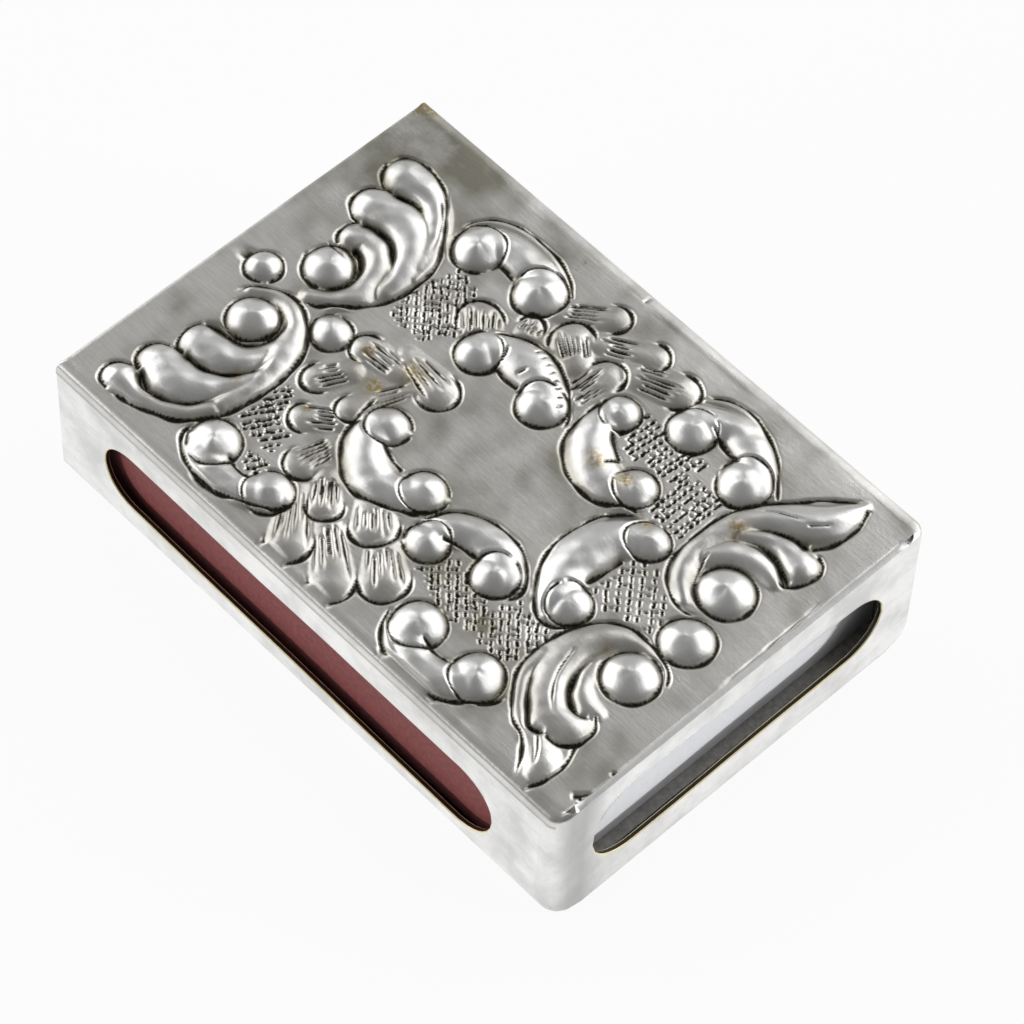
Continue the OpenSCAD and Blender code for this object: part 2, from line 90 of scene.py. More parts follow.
# Round bosses: place and radius
BOSSES = [
    (-20.5, 2.1, 2.2), (-24, -1.6, 1.6), (-15.7, -2, 1.8), (-20.8, -5.6, 2.2), (-13.9, 12, 2.3), (-7.5, 12.5, 2.3),
    (-6.6, 5.1, 2), (0.3, 5.2, 2.1), (4.9, 9.2, 1.75), (10.7, 5.2, 1.9), (9.8, 12.1, 2.1), (16, 11.6, 2.3),
    (14.8, 2.5, 1.85), (14.9, -5.8, 1.9), (-6.2, -4.8, 1.9), (0.1, -6.9, 2), (3.6, -9.8, 1.9), (9.3, -8.2, 2),
    (-14, -15.6, 2.3), (-7.8, -15.6, 2.1), (8.6, -15.4, 2.3), (14.9, -15.3, 2.3), (22.1, 3.6, 2.45),
    (23.2, -1.6, 2.3), (22.6, -6.9, 2.4),
]

# Scroll bodies, leaf fingers and raised rims: place and half width at each point
SCROLLS = [
    [(-13.9, 12.8, 1.9), (-12.3, 13.7, 1.7), (-10.7, 13.8, 1.75), (-9.1, 13.8, 1.7), (-7.5, 13.2, 1.9)],
    [(-6.4, 6, 1.9), (-4.8, 6.9, 1.8), (-3, 7, 2.1), (-1.2, 6.6, 1.9), (0.6, 5.8, 1.9)],
    [(4.6, 8.6, 1.5), (4.8, 6.6, 1.7), (6, 5.1, 2), (7.7, 4.1, 1.9), (9.5, 4, 1.8), (11, 4.8, 1.6)],
    [(9.7, 13.2, 1.9), (11.8, 14.6, 1.6), (13.7, 14.4, 1.7), (15.5, 13.3, 1.9), (16.5, 12, 1.9)],
    [(14.2, 2.3, 1.8), (12.8, 0.6, 2), (12.4, -1.6, 2.1), (12.6, -3.8, 1.9), (13.7, -5.9, 2)],
    [(-6.6, -5.2, 1.9), (-6.1, -7, 1.8), (-4.6, -8.4, 1.9), (-2.6, -8.9, 1.8), (-0.7, -8.2, 1.7), (0.3, -7, 1.9)],
    [(3.5, -8.9, 1.7), (4.4, -7.3, 1.7), (6.3, -6.5, 1.7), (8.3, -6.6, 1.8), (9.6, -7.7, 1.9)],
    [(-14, -16.4, 1.9), (-12.4, -17.1, 1.5), (-10.9, -17.2, 1.35), (-9.3, -16.8, 1.5), (-7.9, -15.9, 1.9)],
    [(8.6, -16.1, 1.9), (10, -17.3, 1.6), (11.6, -17.6, 1.5), (13.3, -17.2, 1.6), (14.9, -16, 1.9)],
]
FINGERS = [
    # upper left leaf
    [(-23, 12.6, 1.9), (-21, 12.75, 1.65), (-19.3, 12.2, 1.35), (-17.7, 10.9, 1.25), (-16.6, 9.2, 1.2),
     (-15.9, 7.2, 1.1)],
    [(-22.5, 8.9, 1.9), (-20.3, 9.3, 1.95), (-18.5, 8.9, 1.85), (-17, 7.5, 1.6), (-16.1, 5.6, 1.35), (-15.8, 3.8, 1)],
    [(-20.3, 3.8, 0.3), (-21.1, 4.5, 0.6), (-21.4, 5.6, 1.2), (-19.6, 6, 1.25), (-18.2, 5.2, 1.25), (-17.4, 3.5, 1.1),
     (-17, 1.8, 1.2), (-17.9, 0.2, 1), (-19.5, -0.9, 0.8)],
    # lower left leaf
    [(-23, -3.8, 0.5), (-21.2, -2.7, 0.6), (-19.2, -2.9, 0.8), (-17.6, -4.2, 1.1), (-16.8, -6, 1.5),
     (-16.2, -8.2, 1.25), (-16, -10.4, 1.1), (-16.4, -12.8, 1)],
    [(-21.9, -10.1, 1.75), (-20, -9.9, 1.8), (-18.4, -9, 1.5), (-17.6, -7.4, 1.1), (-17.5, -5.9, 0.9)],
    [(-22.5, -13.6, 1.8), (-20.6, -13.8, 2.05), (-18.8, -13.1, 1.8), (-17.4, -11.4, 1.3), (-16.4, -9.6, 1.1)],
    [(-23.6, -16.9, 1.45), (-21.6, -17, 1), (-19.6, -16.5, 0.95), (-17.8, -15.4, 0.95), (-16.6, -13.7, 1)],
    # upper right leaf
    [(23.7, 17, 0.4), (23.4, 15.2, 1.3), (22.6, 13.4, 1.8), (21, 12, 1.7), (19.3, 10.6, 1.3), (18.2, 8.6, 1.2),
     (17.8, 6.4, 1), (17.8, 4.4, 0.95), (18.6, 2.3, 0.85), (20.3, 0.9, 0.55)],
    [(24.2, 9.4, 1.5), (22.5, 9.7, 1.25), (20.8, 9.4, 1), (19.2, 8.2, 0.8)],
    [(23.8, 7, 0.75), (21.9, 7.2, 1.15), (20, 6.6, 1.25), (18.8, 5, 0.95)],
]
LOW_FINGERS = [
    # lower right leaf
    [(22.6, -13.2, 1.7), (20.8, -13.3, 1.75), (19.1, -12, 1.7), (18.1, -9.9, 1.6), (17.9, -7.6, 1.5),
     (18.9, -5.5, 1.2), (20.9, -4.4, 0.65), (23.2, -4.5, 0.5)],
    [(23.8, -18.4, 0.6), (23.4, -16.7, 1.4), (21.8, -15.9, 1.2), (20, -15.4, 0.85), (18.3, -14.1, 0.75),
     (17.1, -12.2, 0.7), (16.8, -10.2, 0.7)],
    [(23.2, -10.9, 0.7), (21.8, -10.8, 0.9), (20.6, -9.9, 0.8), (20, -8.2, 0.7)],
]
# Petals: root, tip, half width at the root and at the belly, number of hatched strokes
PETALS = [
    ((-9.2, -0.6), (-14.1, -1.1), 1.1, 1.45, 5), ((-12, -3.4), (-13.9, -6.8), 1.2, 1.45, 6),
    ((-7.4, -0.9), (-9.8, -6.9), 0.8, 1.4, 4), ((-10.1, 0.9), (-4.4, 0), 1, 1.9, 4),
    ((-9, -7), (-12.2, -9.8), 1.1, 1.35, 6), ((-7.6, -9), (-8.5, -13.4), 1, 1.5, 6),
    ((-6, -11.2), (-3.1, -14.4), 0.9, 1.45, 6), ((-6.7, -13.7), (-2.2, -18.9), 1, 1.9, 6),
    ((-2.9, -14.1), (2.8, -18.6), 1.1, 1.9, 6), ((-1.7, -10.4), (1.3, -13.1), 1.5, 1.9, 6),
    ((1.4, -12.4), (5.5, -15.8), 1.3, 2, 6), ((-7.8, 6.4), (-10.2, 8.7), 1.6, 1.9, 8),
    ((-5.5, 9), (-5.9, 11), 1, 1.1, 5), ((-0.8, 10.1), (-4.1, 12.3), 1.3, 1.8, 7),
    ((-5.3, 12.5), (-0.8, 16), 1.1, 1.4, 6), ((-1.4, 12.4), (4, 15.6), 1, 1.3, 5),
    ((1.2, 7.2), (1.8, 12.4), 1.2, 1.6, 7), ((2.8, 12.4), (8, 14.7), 1.3, 1.8, 6),
]
RIMS = [
    [(-19.8, 13.6, 0.35), (-18, 12.2, 0.5), (-16.6, 10.4, 0.5), (-15.5, 8.4, 0.5), (-15.1, 6.2, 0.45)],
    [(-15.9, 13, 0.4), (-14.9, 14.5, 0.5), (-13, 15.4, 0.5), (-10.8, 15.6, 0.5), (-8.3, 15.2, 0.5),
     (-6.1, 14.1, 0.4)],
    [(8.6, 14.9, 0.4), (10.2, 15.9, 0.5), (12.3, 16.1, 0.5), (14.8, 15.2, 0.5), (16.7, 14, 0.5), (18.1, 12.5, 0.4)],
    [(11, 1.6, 0.4), (10.7, -0.6, 0.5), (10.7, -2.8, 0.5), (11.5, -5.1, 0.5), (12.9, -7, 0.5), (14.4, -7.7, 0.4)],
    [(-15.9, -16.5, 0.4), (-14.2, -17.8, 0.5), (-11.6, -18.3, 0.5), (-9.2, -17.6, 0.5), (-7, -16.6, 0.4)],
    [(6.9, -16.8, 0.4), (8.6, -18.2, 0.5), (11.1, -18.7, 0.5), (13.8, -18.2, 0.5), (16.1, -16.7, 0.4)],
]

# Chased lines round the leaves, scrolls and petals
OUTLINES = [
    # upper left leaf
    [(-25, 12.5), (-24.4, 14), (-22.5, 14.6), (-20.3, 14.1), (-19, 13.3), (-18, 12.3), (-16.8, 11), (-16, 10),
     (-15.2, 8.9), (-14.7, 7.5), (-14.6, 5), (-14.8, 3.8), (-15.2, 2.7), (-15.8, 1.7), (-16.5, 0.7), (-17.5, -0.2),
     (-18.5, -1.2), (-20, -1.7)],
    [(-25, 12.5), (-24.6, 11.5), (-23.5, 10.7), (-22.4, 10.7)],
    [(-22.9, 10.5), (-24.1, 9.8), (-24.5, 8.7), (-24.1, 7.6), (-23, 6.9), (-22, 6.9)],
    [(-22.3, 7), (-22.7, 6), (-22.5, 4.8), (-21.8, 4.2)],
    # lower left leaf
    [(-23.8, -4.9), (-23.2, -3.6), (-22, -2.6), (-20.5, -1.9), (-19, -2), (-17.8, -2.7), (-16.6, -3.6), (-15.7, -4.8),
     (-15.2, -6.3), (-14.9, -8), (-14.9, -10), (-15.4, -13), (-16, -14.3), (-16.8, -15.5), (-17.8, -16.5),
     (-19.5, -17.3), (-21, -17.9), (-23.3, -18.3)],
    [(-23.1, -8.7), (-23.4, -9.8), (-23.2, -11), (-22.6, -11.8), (-21.8, -11.8)],
    [(-22.9, -12), (-24, -12.6), (-24.5, -13.7), (-24.1, -14.8), (-23, -15.3)],
    [(-23.6, -15.3), (-24.7, -16), (-25.1, -17), (-24.6, -18), (-23.3, -18.3)],
    # upper right leaf
    [(23.4, 17.3), (22.5, 16.4), (21, 15), (20, 13.6), (19.2, 12.6), (18.6, 11.8), (17.6, 10.2), (17, 8.6), (16.8, 7),
     (16.8, 5), (16.9, 3.5), (17.3, 2.3), (18.2, 1.2), (19.5, 0.4), (21, 0.2), (22.2, 0.6)],
    [(24, 17), (24.6, 15.5), (24.7, 14), (24.4, 12.5), (23.9, 11.6), (23.5, 11)],
    [(24.3, 11.1), (25.2, 10.8), (25.7, 9.8), (25.5, 8.6), (24.9, 7.6), (24, 7.1)],
    # lower right leaf
    [(25.2, -6), (24.3, -4.6), (22.8, -3.9), (21.3, -3.7), (19.8, -3.7), (18.6, -4.2), (17.6, -5.1), (16.8, -6.4),
     (16.2, -8), (16, -9.5), (16, -11), (16.4, -12.6), (17.3, -13.9), (18.2, -14.9), (19.3, -15.8), (20.7, -16.3),
     (21.8, -17.3), (22.6, -18.5), (23, -19.1)],
    [(23.1, -11), (24, -11.9), (24.2, -13), (24, -14), (23, -14.9), (21.8, -15)],
    [(24, -13.9), (24.6, -15.2), (24.8, -16.6), (24.6, -18), (24.1, -19.1)],
    # scrolls
    [(-16.3, 12.5), (-16.1, 13.6), (-15, 15), (-13.2, 15.9), (-11, 16.1), (-9, 16), (-7, 15.3), (-5.8, 14.4),
     (-5.3, 13.9)],
    [(-11.6, 12.1), (-10.8, 12.1), (-9.9, 11.9)],
    [(-7.2, 7), (-6.2, 7.9), (-5, 8.7), (-3.5, 9.1), (-2, 9), (-0.8, 8.6), (0.5, 7.9), (1.7, 6.9), (2.6, 5.9),
     (2.9, 5)],
    [(-4.6, 5.1), (-3.3, 4.9), (-2, 5)],
    [(3.2, 9.3), (3.1, 8), (3.2, 6.5), (3.4, 5), (4, 3.9), (5, 3), (6.2, 2.3), (7.7, 2), (9.3, 2.1), (10.3, 2.6),
     (11.5, 3.5), (12.7, 3.9)],
    [(5.7, 7.5), (6.8, 6.7), (8, 6.1)],
    [(8, 6.1), (7.5, 4.8)],
    [(8.4, 15.3), (10, 16.4), (12, 16.7), (13.6, 16.3), (15.3, 15.6), (16.7, 14.6), (17.8, 13.4), (18.9, 12.3)],
    [(10.8, 13.4), (12.5, 12.9), (14.4, 12.6)],
    [(12.9, 3.9), (11.5, 2.6), (10.6, 1), (10.3, -0.5), (10.1, -2), (10.3, -3.5), (10.9, -5), (11.8, -6.3),
     (13, -7.6), (14.2, -8.3), (15.4, -8), (16.4, -7), (16.8, -5.8)],
    [(14.7, 0), (14.6, -1.8), (14.3, -3.6)],
    [(-8.7, -3.5), (-8.6, -5), (-8.3, -6.5), (-7.9, -7.9), (-7, -9), (-6, -9.9), (-4.8, -10.6), (-3.3, -10.8),
     (-1.8, -10.4), (-0.5, -9.8), (0.8, -9), (1.7, -8.2)],
    [(-5.2, -6.2), (-3.8, -6.6), (-2.4, -6.8)],
    [(2, -8.8), (2.4, -7.3), (3.2, -6.2), (4.4, -5.4), (5.8, -4.9), (7.3, -4.8), (8.8, -5), (10.1, -5.7),
     (11.2, -6.7), (11.7, -8), (11.2, -9.2)],
    [(4.2, -8.9), (5.6, -8.3), (7.3, -8)],
    [(-16.5, -15.5), (-16.3, -16.9), (-15, -18), (-13, -18.6), (-10.8, -18.6), (-9, -17.9), (-7.3, -17.1),
     (-6.1, -16.2), (-5.9, -15)],
    [(-12.3, -15.7), (-10.8, -16), (-9.8, -15.9)],
    [(6, -15.6), (6.5, -17), (7.5, -18.2), (9, -19), (11, -19.3), (13, -19.1), (14.7, -18.4), (16.1, -17.2),
     (17.3, -15.8), (17.5, -14.7)],
    [(9.7, -15.9), (11, -16.1), (12.5, -15.9)],
]

# Creases that part the fingers and fade out in the stem
CREASES = [
    [(-22.4, 10.7), (-21.5, 11), (-20.5, 11.3), (-19.5, 11.2), (-18.7, 10.9)],
    [(-22, 6.9), (-21.3, 7.2), (-20.3, 7.4), (-19, 7.3), (-18, 6.6), (-17.2, 5.8), (-16.6, 4.9), (-16.4, 3.4)],
    [(-20.6, 4.8), (-19.5, 4.5), (-18.6, 3.6), (-18.2, 2.6), (-18.3, 1.6), (-18.8, 0.9)],
    [(-23.1, -8.7), (-22, -8.3), (-20.8, -8.1), (-19.3, -7.6), (-18.5, -6.3), (-18.4, -5), (-18.9, -3.9),
     (-20.6, -3)],
    [(-21.8, -11.8), (-20.3, -11.7), (-19, -11.3), (-17.9, -10.5), (-17.1, -9.3), (-16.7, -8), (-16.8, -6.5)],
    [(-23, -15.1), (-22, -15.9), (-21, -16.1), (-19.5, -15.7), (-18.3, -14.9), (-17.5, -13.8), (-17.1, -12.5),
     (-17.3, -11.2)],
    [(23.5, 11), (22, 10.8), (20.7, 10.2), (19.5, 9.3), (18.9, 8.6)],
    [(24.9, 7.3), (23.5, 8.1), (22.2, 8.6), (20.8, 8.5), (19.8, 8), (19, 7.6)],
    [(23, -11.6), (22.3, -12), (21.3, -11.8), (20.3, -11), (19.6, -9.5), (19.4, -8), (19.7, -6.5)],
    [(21.8, -15), (20.5, -15.3), (19.3, -14.3), (18.2, -13.2), (17.3, -11.8), (17, -10.5)],
]

# Finer chased lines on the leaves
FINE_LINES = [
    [(-19.5, 13.2), (-17.8, 11.7), (-16.8, 10.4), (-16.2, 9.1), (-16.2, 8.5)],
    [(-22.5, 3.9), (-21.5, 3.5), (-20.5, 3.4), (-19.8, 3.5)],
    [(-22.9, 2), (-22.2, 0.7), (-21.3, 0), (-20.3, -0.1)],
    [(22.1, 12.1), (22.8, 12.9), (23.4, 13.7)],
    [(18.6, 10.6), (19.5, 11.3), (20.7, 11.9), (21.9, 12.4)],
    [(18.7, 5.3), (19, 4.1), (19.5, 3), (20, 2.2), (20.8, 1.6), (21.7, 1.2)],
    [(18, -8), (18.3, -9.3), (18.7, -10.6), (19.4, -11.8), (20.3, -12.8), (21.3, -13.5)],
    [(21.3, -15.2), (22.5, -16.4), (23.3, -17.5)],
    [(-5.3, 7), (-4.9, 6.4), (-4.6, 5.5)],
]

# Single strokes: both ends, on the scroll over the cartouche
STROKES = [
    ((-3.4, 8), (-3.3, 8.8)), ((-2.7, 7.9), (-2.6, 8.7)), ((-2, 7.6), (-1.9, 8.5)), ((-1.3, 7.3), (-1.2, 8.2)),
    ((-0.6, 7), (-0.4, 7.8)), ((0.1, 6.7), (0.3, 7.5)), ((0.8, 6.2), (1, 7)), ((1.4, 5.5), (1.6, 6.3)),
    ((-3, 5.6), (-2.6, 6.6)),
]

# Cracks in the solder at the corner, and the seam's crease: points, depth, half width
CRACKS = [
    ([(26.9, -17.2), (27.4, -16.7), (27.75, -16.1)], 0.17, 0.22),
    ([(27.35, -17), (27.6, -16.8)], 0.17, 0.3),
    ([(27.7, -18.8), (27.72, -18.1), (27.7, -17.2)], 0.17, 0.16),
    ([(27.62, -3), (27.57, 1.7), (27.41, 9.3)], 0.12, 0.12),
    ([(27.6, -13.9), (27.68, -13.5)], 0.2, 0.16),
    ([(-1.6, 18.2), (-1.4, 18.4)], 0.2, 0.15),
    ([(-26.1, 16.4), (-25.9, 16.6)], 0.2, 0.15),
]

# Ground matted with a punch: corners of each patch, the way its rows run in degrees,
# how far apart the rows lie, and how far apart the marks in a row
GROUNDS = [
    ([(5.5, 7.8), (8.6, 7.2), (12.5, 7.8), (12.8, 10.8), (8.2, 10.6), (6.6, 10.9)], 85, 0.62, 0.6),
    ([(12.4, 4.4), (16.4, 4.2), (16.6, 9.2), (13.2, 9.4), (12.5, 7.6)], 90, 0.66, 0.6),
    ([(15, 0.6), (17, 1.4), (20.6, -0.6), (20.6, -3.2), (17, -4.3), (15.2, -3.6)], 130, 0.86, 0.72),
    ([(11.9, -8.3), (15.8, -8.6), (15.8, -12.6), (12.4, -13.2), (11.4, -10.4)], 134, 0.7, 0.62),
    ([(4.8, -12), (6.2, -8.9), (8, -9.6), (11.4, -10.4), (12, -13), (8.2, -12.9)], 136, 0.66, 0.58),
    ([(-14.2, 2.6), (-10.4, 2.6), (-8.8, 5.4), (-11, 9.4), (-13.6, 9.6), (-14.2, 6)], 134, 0.62, 0.55),
    ([(-14.6, -7.8), (-13.2, -8.2), (-12.6, -10.4), (-10.4, -11), (-10.6, -13.2), (-14.6, -13)], 60, 0.6, 0.5),
    ([(-11.4, -14.4), (-9.9, -13.6), (-9.6, -15.4), (-11.2, -15.6)], 60, 0.6, 0.5),
]

# Spots where the plating is worn through: place, radius, how far
WORN = [
    (7.1, 4.6, 0.8, 1), (9.8, 4.9, 0.7, 1.2), (13.8, 3.2, 0.5, 1), (18.6, 8.3, 0.8, 1), (-9.8, -3, 0.8, 1.3),
    (-8.5, 0, 1, 1.1), (-12.4, -1.1, 0.5, 1.4), (-11.7, -8.2, 0.45, 1), (-17.5, -10.4, 0.6, 0.9),
    (19.7, -6.5, 0.4, 1), (-7.4, 17.3, 0.17, 1.4), (-27.3, 18.6, 0.8, 2.6), (-26.4, 18.95, 0.55, 2.2),
]

# How each kind of line is chased: depth, half width, and the shares of it over which its two ends run out
PETAL_RIM = (0.25, 0.15, (0.2, 0.2))
BOSS_RIM = (0.2, 0.13, (0.05, 0.05))
OUTLINE = (0.25, 0.14, (0.06, 0.06))
CREASE = (0.3, 0.13, (0.05, 0.6))
CREASE_FOLD = (0.25, 0.32, (0.05, 0.6))
FINE_LINE = (0.16, 0.11, (0.15, 0.25))
STROKE = (0.18, 0.1, (0.3, 0.3))
CRACK_FADE = (0.2, 0.2)

# ---------------------------------------------------------------- drawing in relief


def curve(points, step=0.14):
    """A smooth curve through the given points; further numbers in a point go along."""
    p = np.asarray(points, float)
    if len(p) == 2:
        return p[0] + (p[1] - p[0]) * np.linspace(0, 1, 5)[:, None]
    ends = np.vstack([2 * p[0] - p[1], p, 2 * p[-1] - p[-2]])
    out = []
    for a, b, c, d in zip(ends, ends[1:], ends[2:], ends[3:]):
        n = max(2, math.ceil(np.hypot(*(c - b)[:2]) / step))
        t = (np.arange(n) / n)[:, None]
        out.append(0.5 * (2 * b + (c - a) * t + (2 * a - 5 * b + 4 * c - d) * t**2 + (3 * b - a - 3 * c + d) * t**3))
    return np.vstack(out + [p[-1:]])


def smooth(x, low, high):
    """Rises from 0 to 1 between two values, softly at both."""
    t = np.clip((x - low) / (high - low), 0, 1)
    return t * t * (3 - 2 * t)


class Relief:
    """Forms, cuts, folds and punch marks over a grid of places, as heights and depths in millimetres."""

    def __init__(self, xs, ys):
        self.u, self.v = xs - ORNAMENT_AT[0], ys - ORNAMENT_AT[1]
        self.form, self.cut, self.fold, self.matting = np.zeros((4, len(xs), len(ys)))

    def window(self, low, high):
        """The cells between two corners, and their places."""
        i = np.searchsorted(self.u, (low[0], high[0]))
        j = np.searchsorted(self.v, (low[1], high[1]))
        cells = (slice(*i), slice(*j))
        return cells, *np.meshgrid(self.u[cells[0]], self.v[cells[1]], indexing="ij")

    def along(self, path, reach):
        """For each run of a path: the cells near the path, their squared distance, and how far along they are."""
        cells, u, v = self.window(path[:, :2].min(0) - reach, path[:, :2].max(0) + reach)
        for n, (a, b) in enumerate(zip(path, path[1:])):
            du, dv = (b - a)[:2]
            t = np.clip(((u - a[0]) * du + (v - a[1]) * dv) / max(du * du + dv * dv, 1e-12), 0, 1)
            yield cells, (u - a[0] - t * du) ** 2 + (v - a[1] - t * dv) ** 2, n + t

    def raise_body(self, points, ratio, sway=None):
        """A body along points of place and half width, whose back is an arc that rises by ratio of that."""
        path = curve(points, 0.3) if len(points) > 1 else np.array([points[0], points[0]], float)
        reach = path[:, 2].max()
        stray = 1
        if sway is not None:
            _, u, v = self.window(path[0, :2] - reach, path[0, :2] + reach)
            stray = uneven(np.arctan2(v - path[0, 1], u - path[0, 0]), sway)
        best = -np.inf
        for cells, squared, at in self.along(path, reach):
            radius = stray * np.interp(at, np.arange(len(path)), path[:, 2])
            drop = radius * (1 - ratio**2) / (2 * ratio)
            best = np.maximum(best, np.sqrt(drop**2 + np.maximum(radius**2 - squared, 0)) - drop)
        self.form[cells] = np.maximum(self.form[cells], best)

    def chase(self, points, depth, width, fade, soft=False):
        """A groove along points; fade is the share of its length over which each end runs out.

        A soft groove is a fold between two bodies, which keeps no tarnish.
        """
        path = curve(points)
        runs = np.hypot(*np.diff(path[:, :2], axis=0).T)
        length = runs.sum()
        nearest, at_nearest = np.inf, 0
        for cells, squared, at in self.along(path, 3 * width):
            at_nearest = np.where(squared < nearest, at, at_nearest)
            nearest = np.minimum(squared, nearest)
        s = np.interp(at_nearest, np.arange(len(path)), np.concatenate([[0], np.cumsum(runs)]) / length)
        force = smooth(s, -0.001, fade[0]) * smooth(1 - s, -0.001, fade[1])
        beat = np.sin(length * s * 1.9 + path[0, 0]) * np.sin(length * s * 0.83 + path[0, 1])
        wide = width * (1 + 0.3 * beat)
        cut = depth * force * (1 + 0.2 * beat) * np.exp(-nearest / wide**2)
        field = self.fold if soft else self.cut
        field[cells] = np.maximum(field[cells], cut)

    def punch(self, u, v, angle, length, width, depth):
        """One mark of a matting punch, with the burr that it throws up."""
        reach = length + 3 * width
        cells, gu, gv = self.window((u - reach, v - reach), (u + reach, v + reach))
        along = (gu - u) * math.cos(angle) + (gv - v) * math.sin(angle)
        across = -(gu - u) * math.sin(angle) + (gv - v) * math.cos(angle)
        d = np.hypot(np.maximum(np.abs(along) - length / 2, 0), across) / width
        mark = depth * np.exp(-d**2) - 0.08 * depth * np.exp(-((d - 1.7) ** 2) * 3)
        self.matting[cells] = np.where(np.abs(mark) > np.abs(self.matting[cells]), mark, self.matting[cells])


def uneven(angle, sway):
    """How far a hand-punched boss strays from a circle, all the way round."""
    return (0.985 - 0.03 * abs(np.sin(angle + sway[0])) + 0.02 * np.sin(2 * angle + sway[1])
            + 0.012 * np.sin(3 * angle + sway[2]))


def inside(polygon, u, v):
    """Whether a place lies inside a polygon."""
    found = False
    for (au, av), (bu, bv) in zip(polygon, polygon[1:] + polygon[:1]):
        if (av > v) != (bv > v):
            found ^= u < (bu - au) * (v - av) / (bv - av) + au
    return found


def blur(field, cells):
    """A soft average over about that many cells each way."""
    n = max(1, int(round(3 * cells)))
    weights = np.exp(-((np.arange(-n, n + 1) / cells) ** 2) / 2)
    weights /= weights.sum()
    for axis in (0, 1):
        wide = np.pad(field, [(n, n), (0, 0)] if axis == 0 else [(0, 0), (n, n)], mode="edge")
        size = field.shape[axis]
        field = sum(w * np.take(wide, np.arange(k, k + size), axis) for k, w in enumerate(weights))
    return field


def ripples(u, v, wavelength, count=14):
    """A smooth irregular surface of about unit height with waves of about that length."""
    total = np.zeros(np.broadcast(u, v).shape)
    for angle, stretch, phase in zip(rng.uniform(0, math.pi, count), rng.uniform(0.7, 1.5, count),
                                     rng.uniform(0, 2 * math.pi, count)):
        k = 2 * math.pi / (wavelength * stretch)
        total += np.sin(k * (u * math.cos(angle) + v * math.sin(angle)) + phase)
    return total / math.sqrt(count / 2)


def draw_petal(r, root, tip, root_width, belly, strokes):
    """A petal raised low, chased round its tip, and hatched from its root."""
    root, tip = np.array(root), np.array(tip)
    length = np.hypot(*(tip - root))
    way = (tip - root) / length
    side = np.array((-way[1], way[0]))
    middle = root + way * max(length - belly, 0.2 * length)
    waist = (root + middle) / 2
    r.raise_body([(*root, root_width), (*waist, (root_width + belly) / 2), (*middle, belly)], RISE_PETAL)
    turn = np.radians(np.arange(-115, 116, 23))
    reach = belly * (1 + 0.05 * np.sin(2 * turn + rng.uniform(0, 6)))
    r.chase([middle + d * (math.cos(a) * way + math.sin(a) * side) for a, d in zip(turn, reach)], *PETAL_RIM)
    for n in range(strokes):
        across = ((n + 0.5) / strokes - 0.5) * 1.75 + rng.uniform(-0.08, 0.08)
        shares = np.linspace(rng.uniform(0.02, 0.2), rng.uniform(0.5, 0.85), 3)
        stroke = [root + way * length * s + side * across * (root_width + (belly - root_width) * s) for s in shares]
        r.chase(stroke, rng.uniform(0.14, 0.24), rng.uniform(0.09, 0.12), (0.2, 0.4))


def draw_boss(r, u, v, radius):
    """A round boss, a little uneven, with a line chased round it."""
    sway = rng.uniform(0, 2 * math.pi, 3)
    r.raise_body([(u, v, radius)], RISE_BOSS, sway)
    ring = []
    for a in np.linspace(0, 2 * math.pi, 33) + rng.uniform(0, 6):
        reach = radius * uneven(a, sway)
        ring.append((u + reach * math.cos(a), v + reach * math.sin(a)))
    r.chase(ring, *BOSS_RIM)


def draw_ground(r, polygon, way, apart, pitch):
    """A patch matted with rows of long marks, and short ones across between them."""
    middle, reach = np.mean(polygon, 0), np.ptp(polygon, 0).max()
    way = math.radians(way)
    for row in np.arange(-reach, reach, apart):
        sway = rng.normal(0, 0.05)
        for k in np.arange(-reach, reach, pitch):
            k, across = k + rng.normal(0, 0.06), row + sway + rng.normal(0, 0.04)
            at = (middle[0] + k * math.cos(way) - across * math.sin(way),
                  middle[1] + k * math.sin(way) + across * math.cos(way))
            if inside(polygon, *at):
                r.punch(*at, way + rng.normal(0, 0.12), rng.uniform(0.3, 0.55) * pitch,
                        rng.uniform(0.09, 0.13), rng.uniform(0.15, 0.3))
                if rng.random() < 0.35:
                    r.punch(at[0] - apart / 2 * math.sin(way), at[1] + apart / 2 * math.cos(way),
                            way + math.pi / 2, 0.2, 0.08, 0.1)


def draw_relief(xs, ys):
    r = Relief(xs, ys)
    for paths, rise in ((SCROLLS + FINGERS, RISE_LEAF), (LOW_FINGERS, RISE_LOW_LEAF), (RIMS, RISE_RIM)):
        for path in paths:
            r.raise_body(path, rise)
    for petal in PETALS:
        draw_petal(r, *petal)
    for boss in BOSSES:
        draw_boss(r, *boss)
    for paths, line in ((OUTLINES, OUTLINE), (CREASES, CREASE), (FINE_LINES, FINE_LINE), (STROKES, STROKE)):
        for path in paths:
            r.chase(path, *line)
    for path in CREASES:
        r.chase(path, *CREASE_FOLD, soft=True)
    for path, depth, width in CRACKS:
        r.chase(path, depth, width, CRACK_FADE)
    for ground in GROUNDS:
        draw_ground(r, *ground)
    return r


# ---------------------------------------------------------------- mesh helpers


def assign(target, **settings):
    """Sets several attributes of a thing, and gives it back."""
    for key, value in settings.items():
        setattr(target, key, value)
    return target


def add(name, data):
    """A new object in the scene."""
    obj = bpy.data.objects.new(name, data)
    bpy.context.scene.collection.objects.link(obj)
    return obj


def make_object(name, verts, faces, body, replaced, material):
    """A piece from points in millimetres, in place of CAD nodes."""
    mesh = bpy.data.meshes.new(name)
    mesh.from_pydata([tuple(c * MM for c in v) for v in verts], [], faces)
    mesh.validate()
    mesh.shade_smooth()
    mesh.materials.append(material)
    obj = add(name, mesh)
    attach(obj, body)
    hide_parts(*replaced)
    return obj


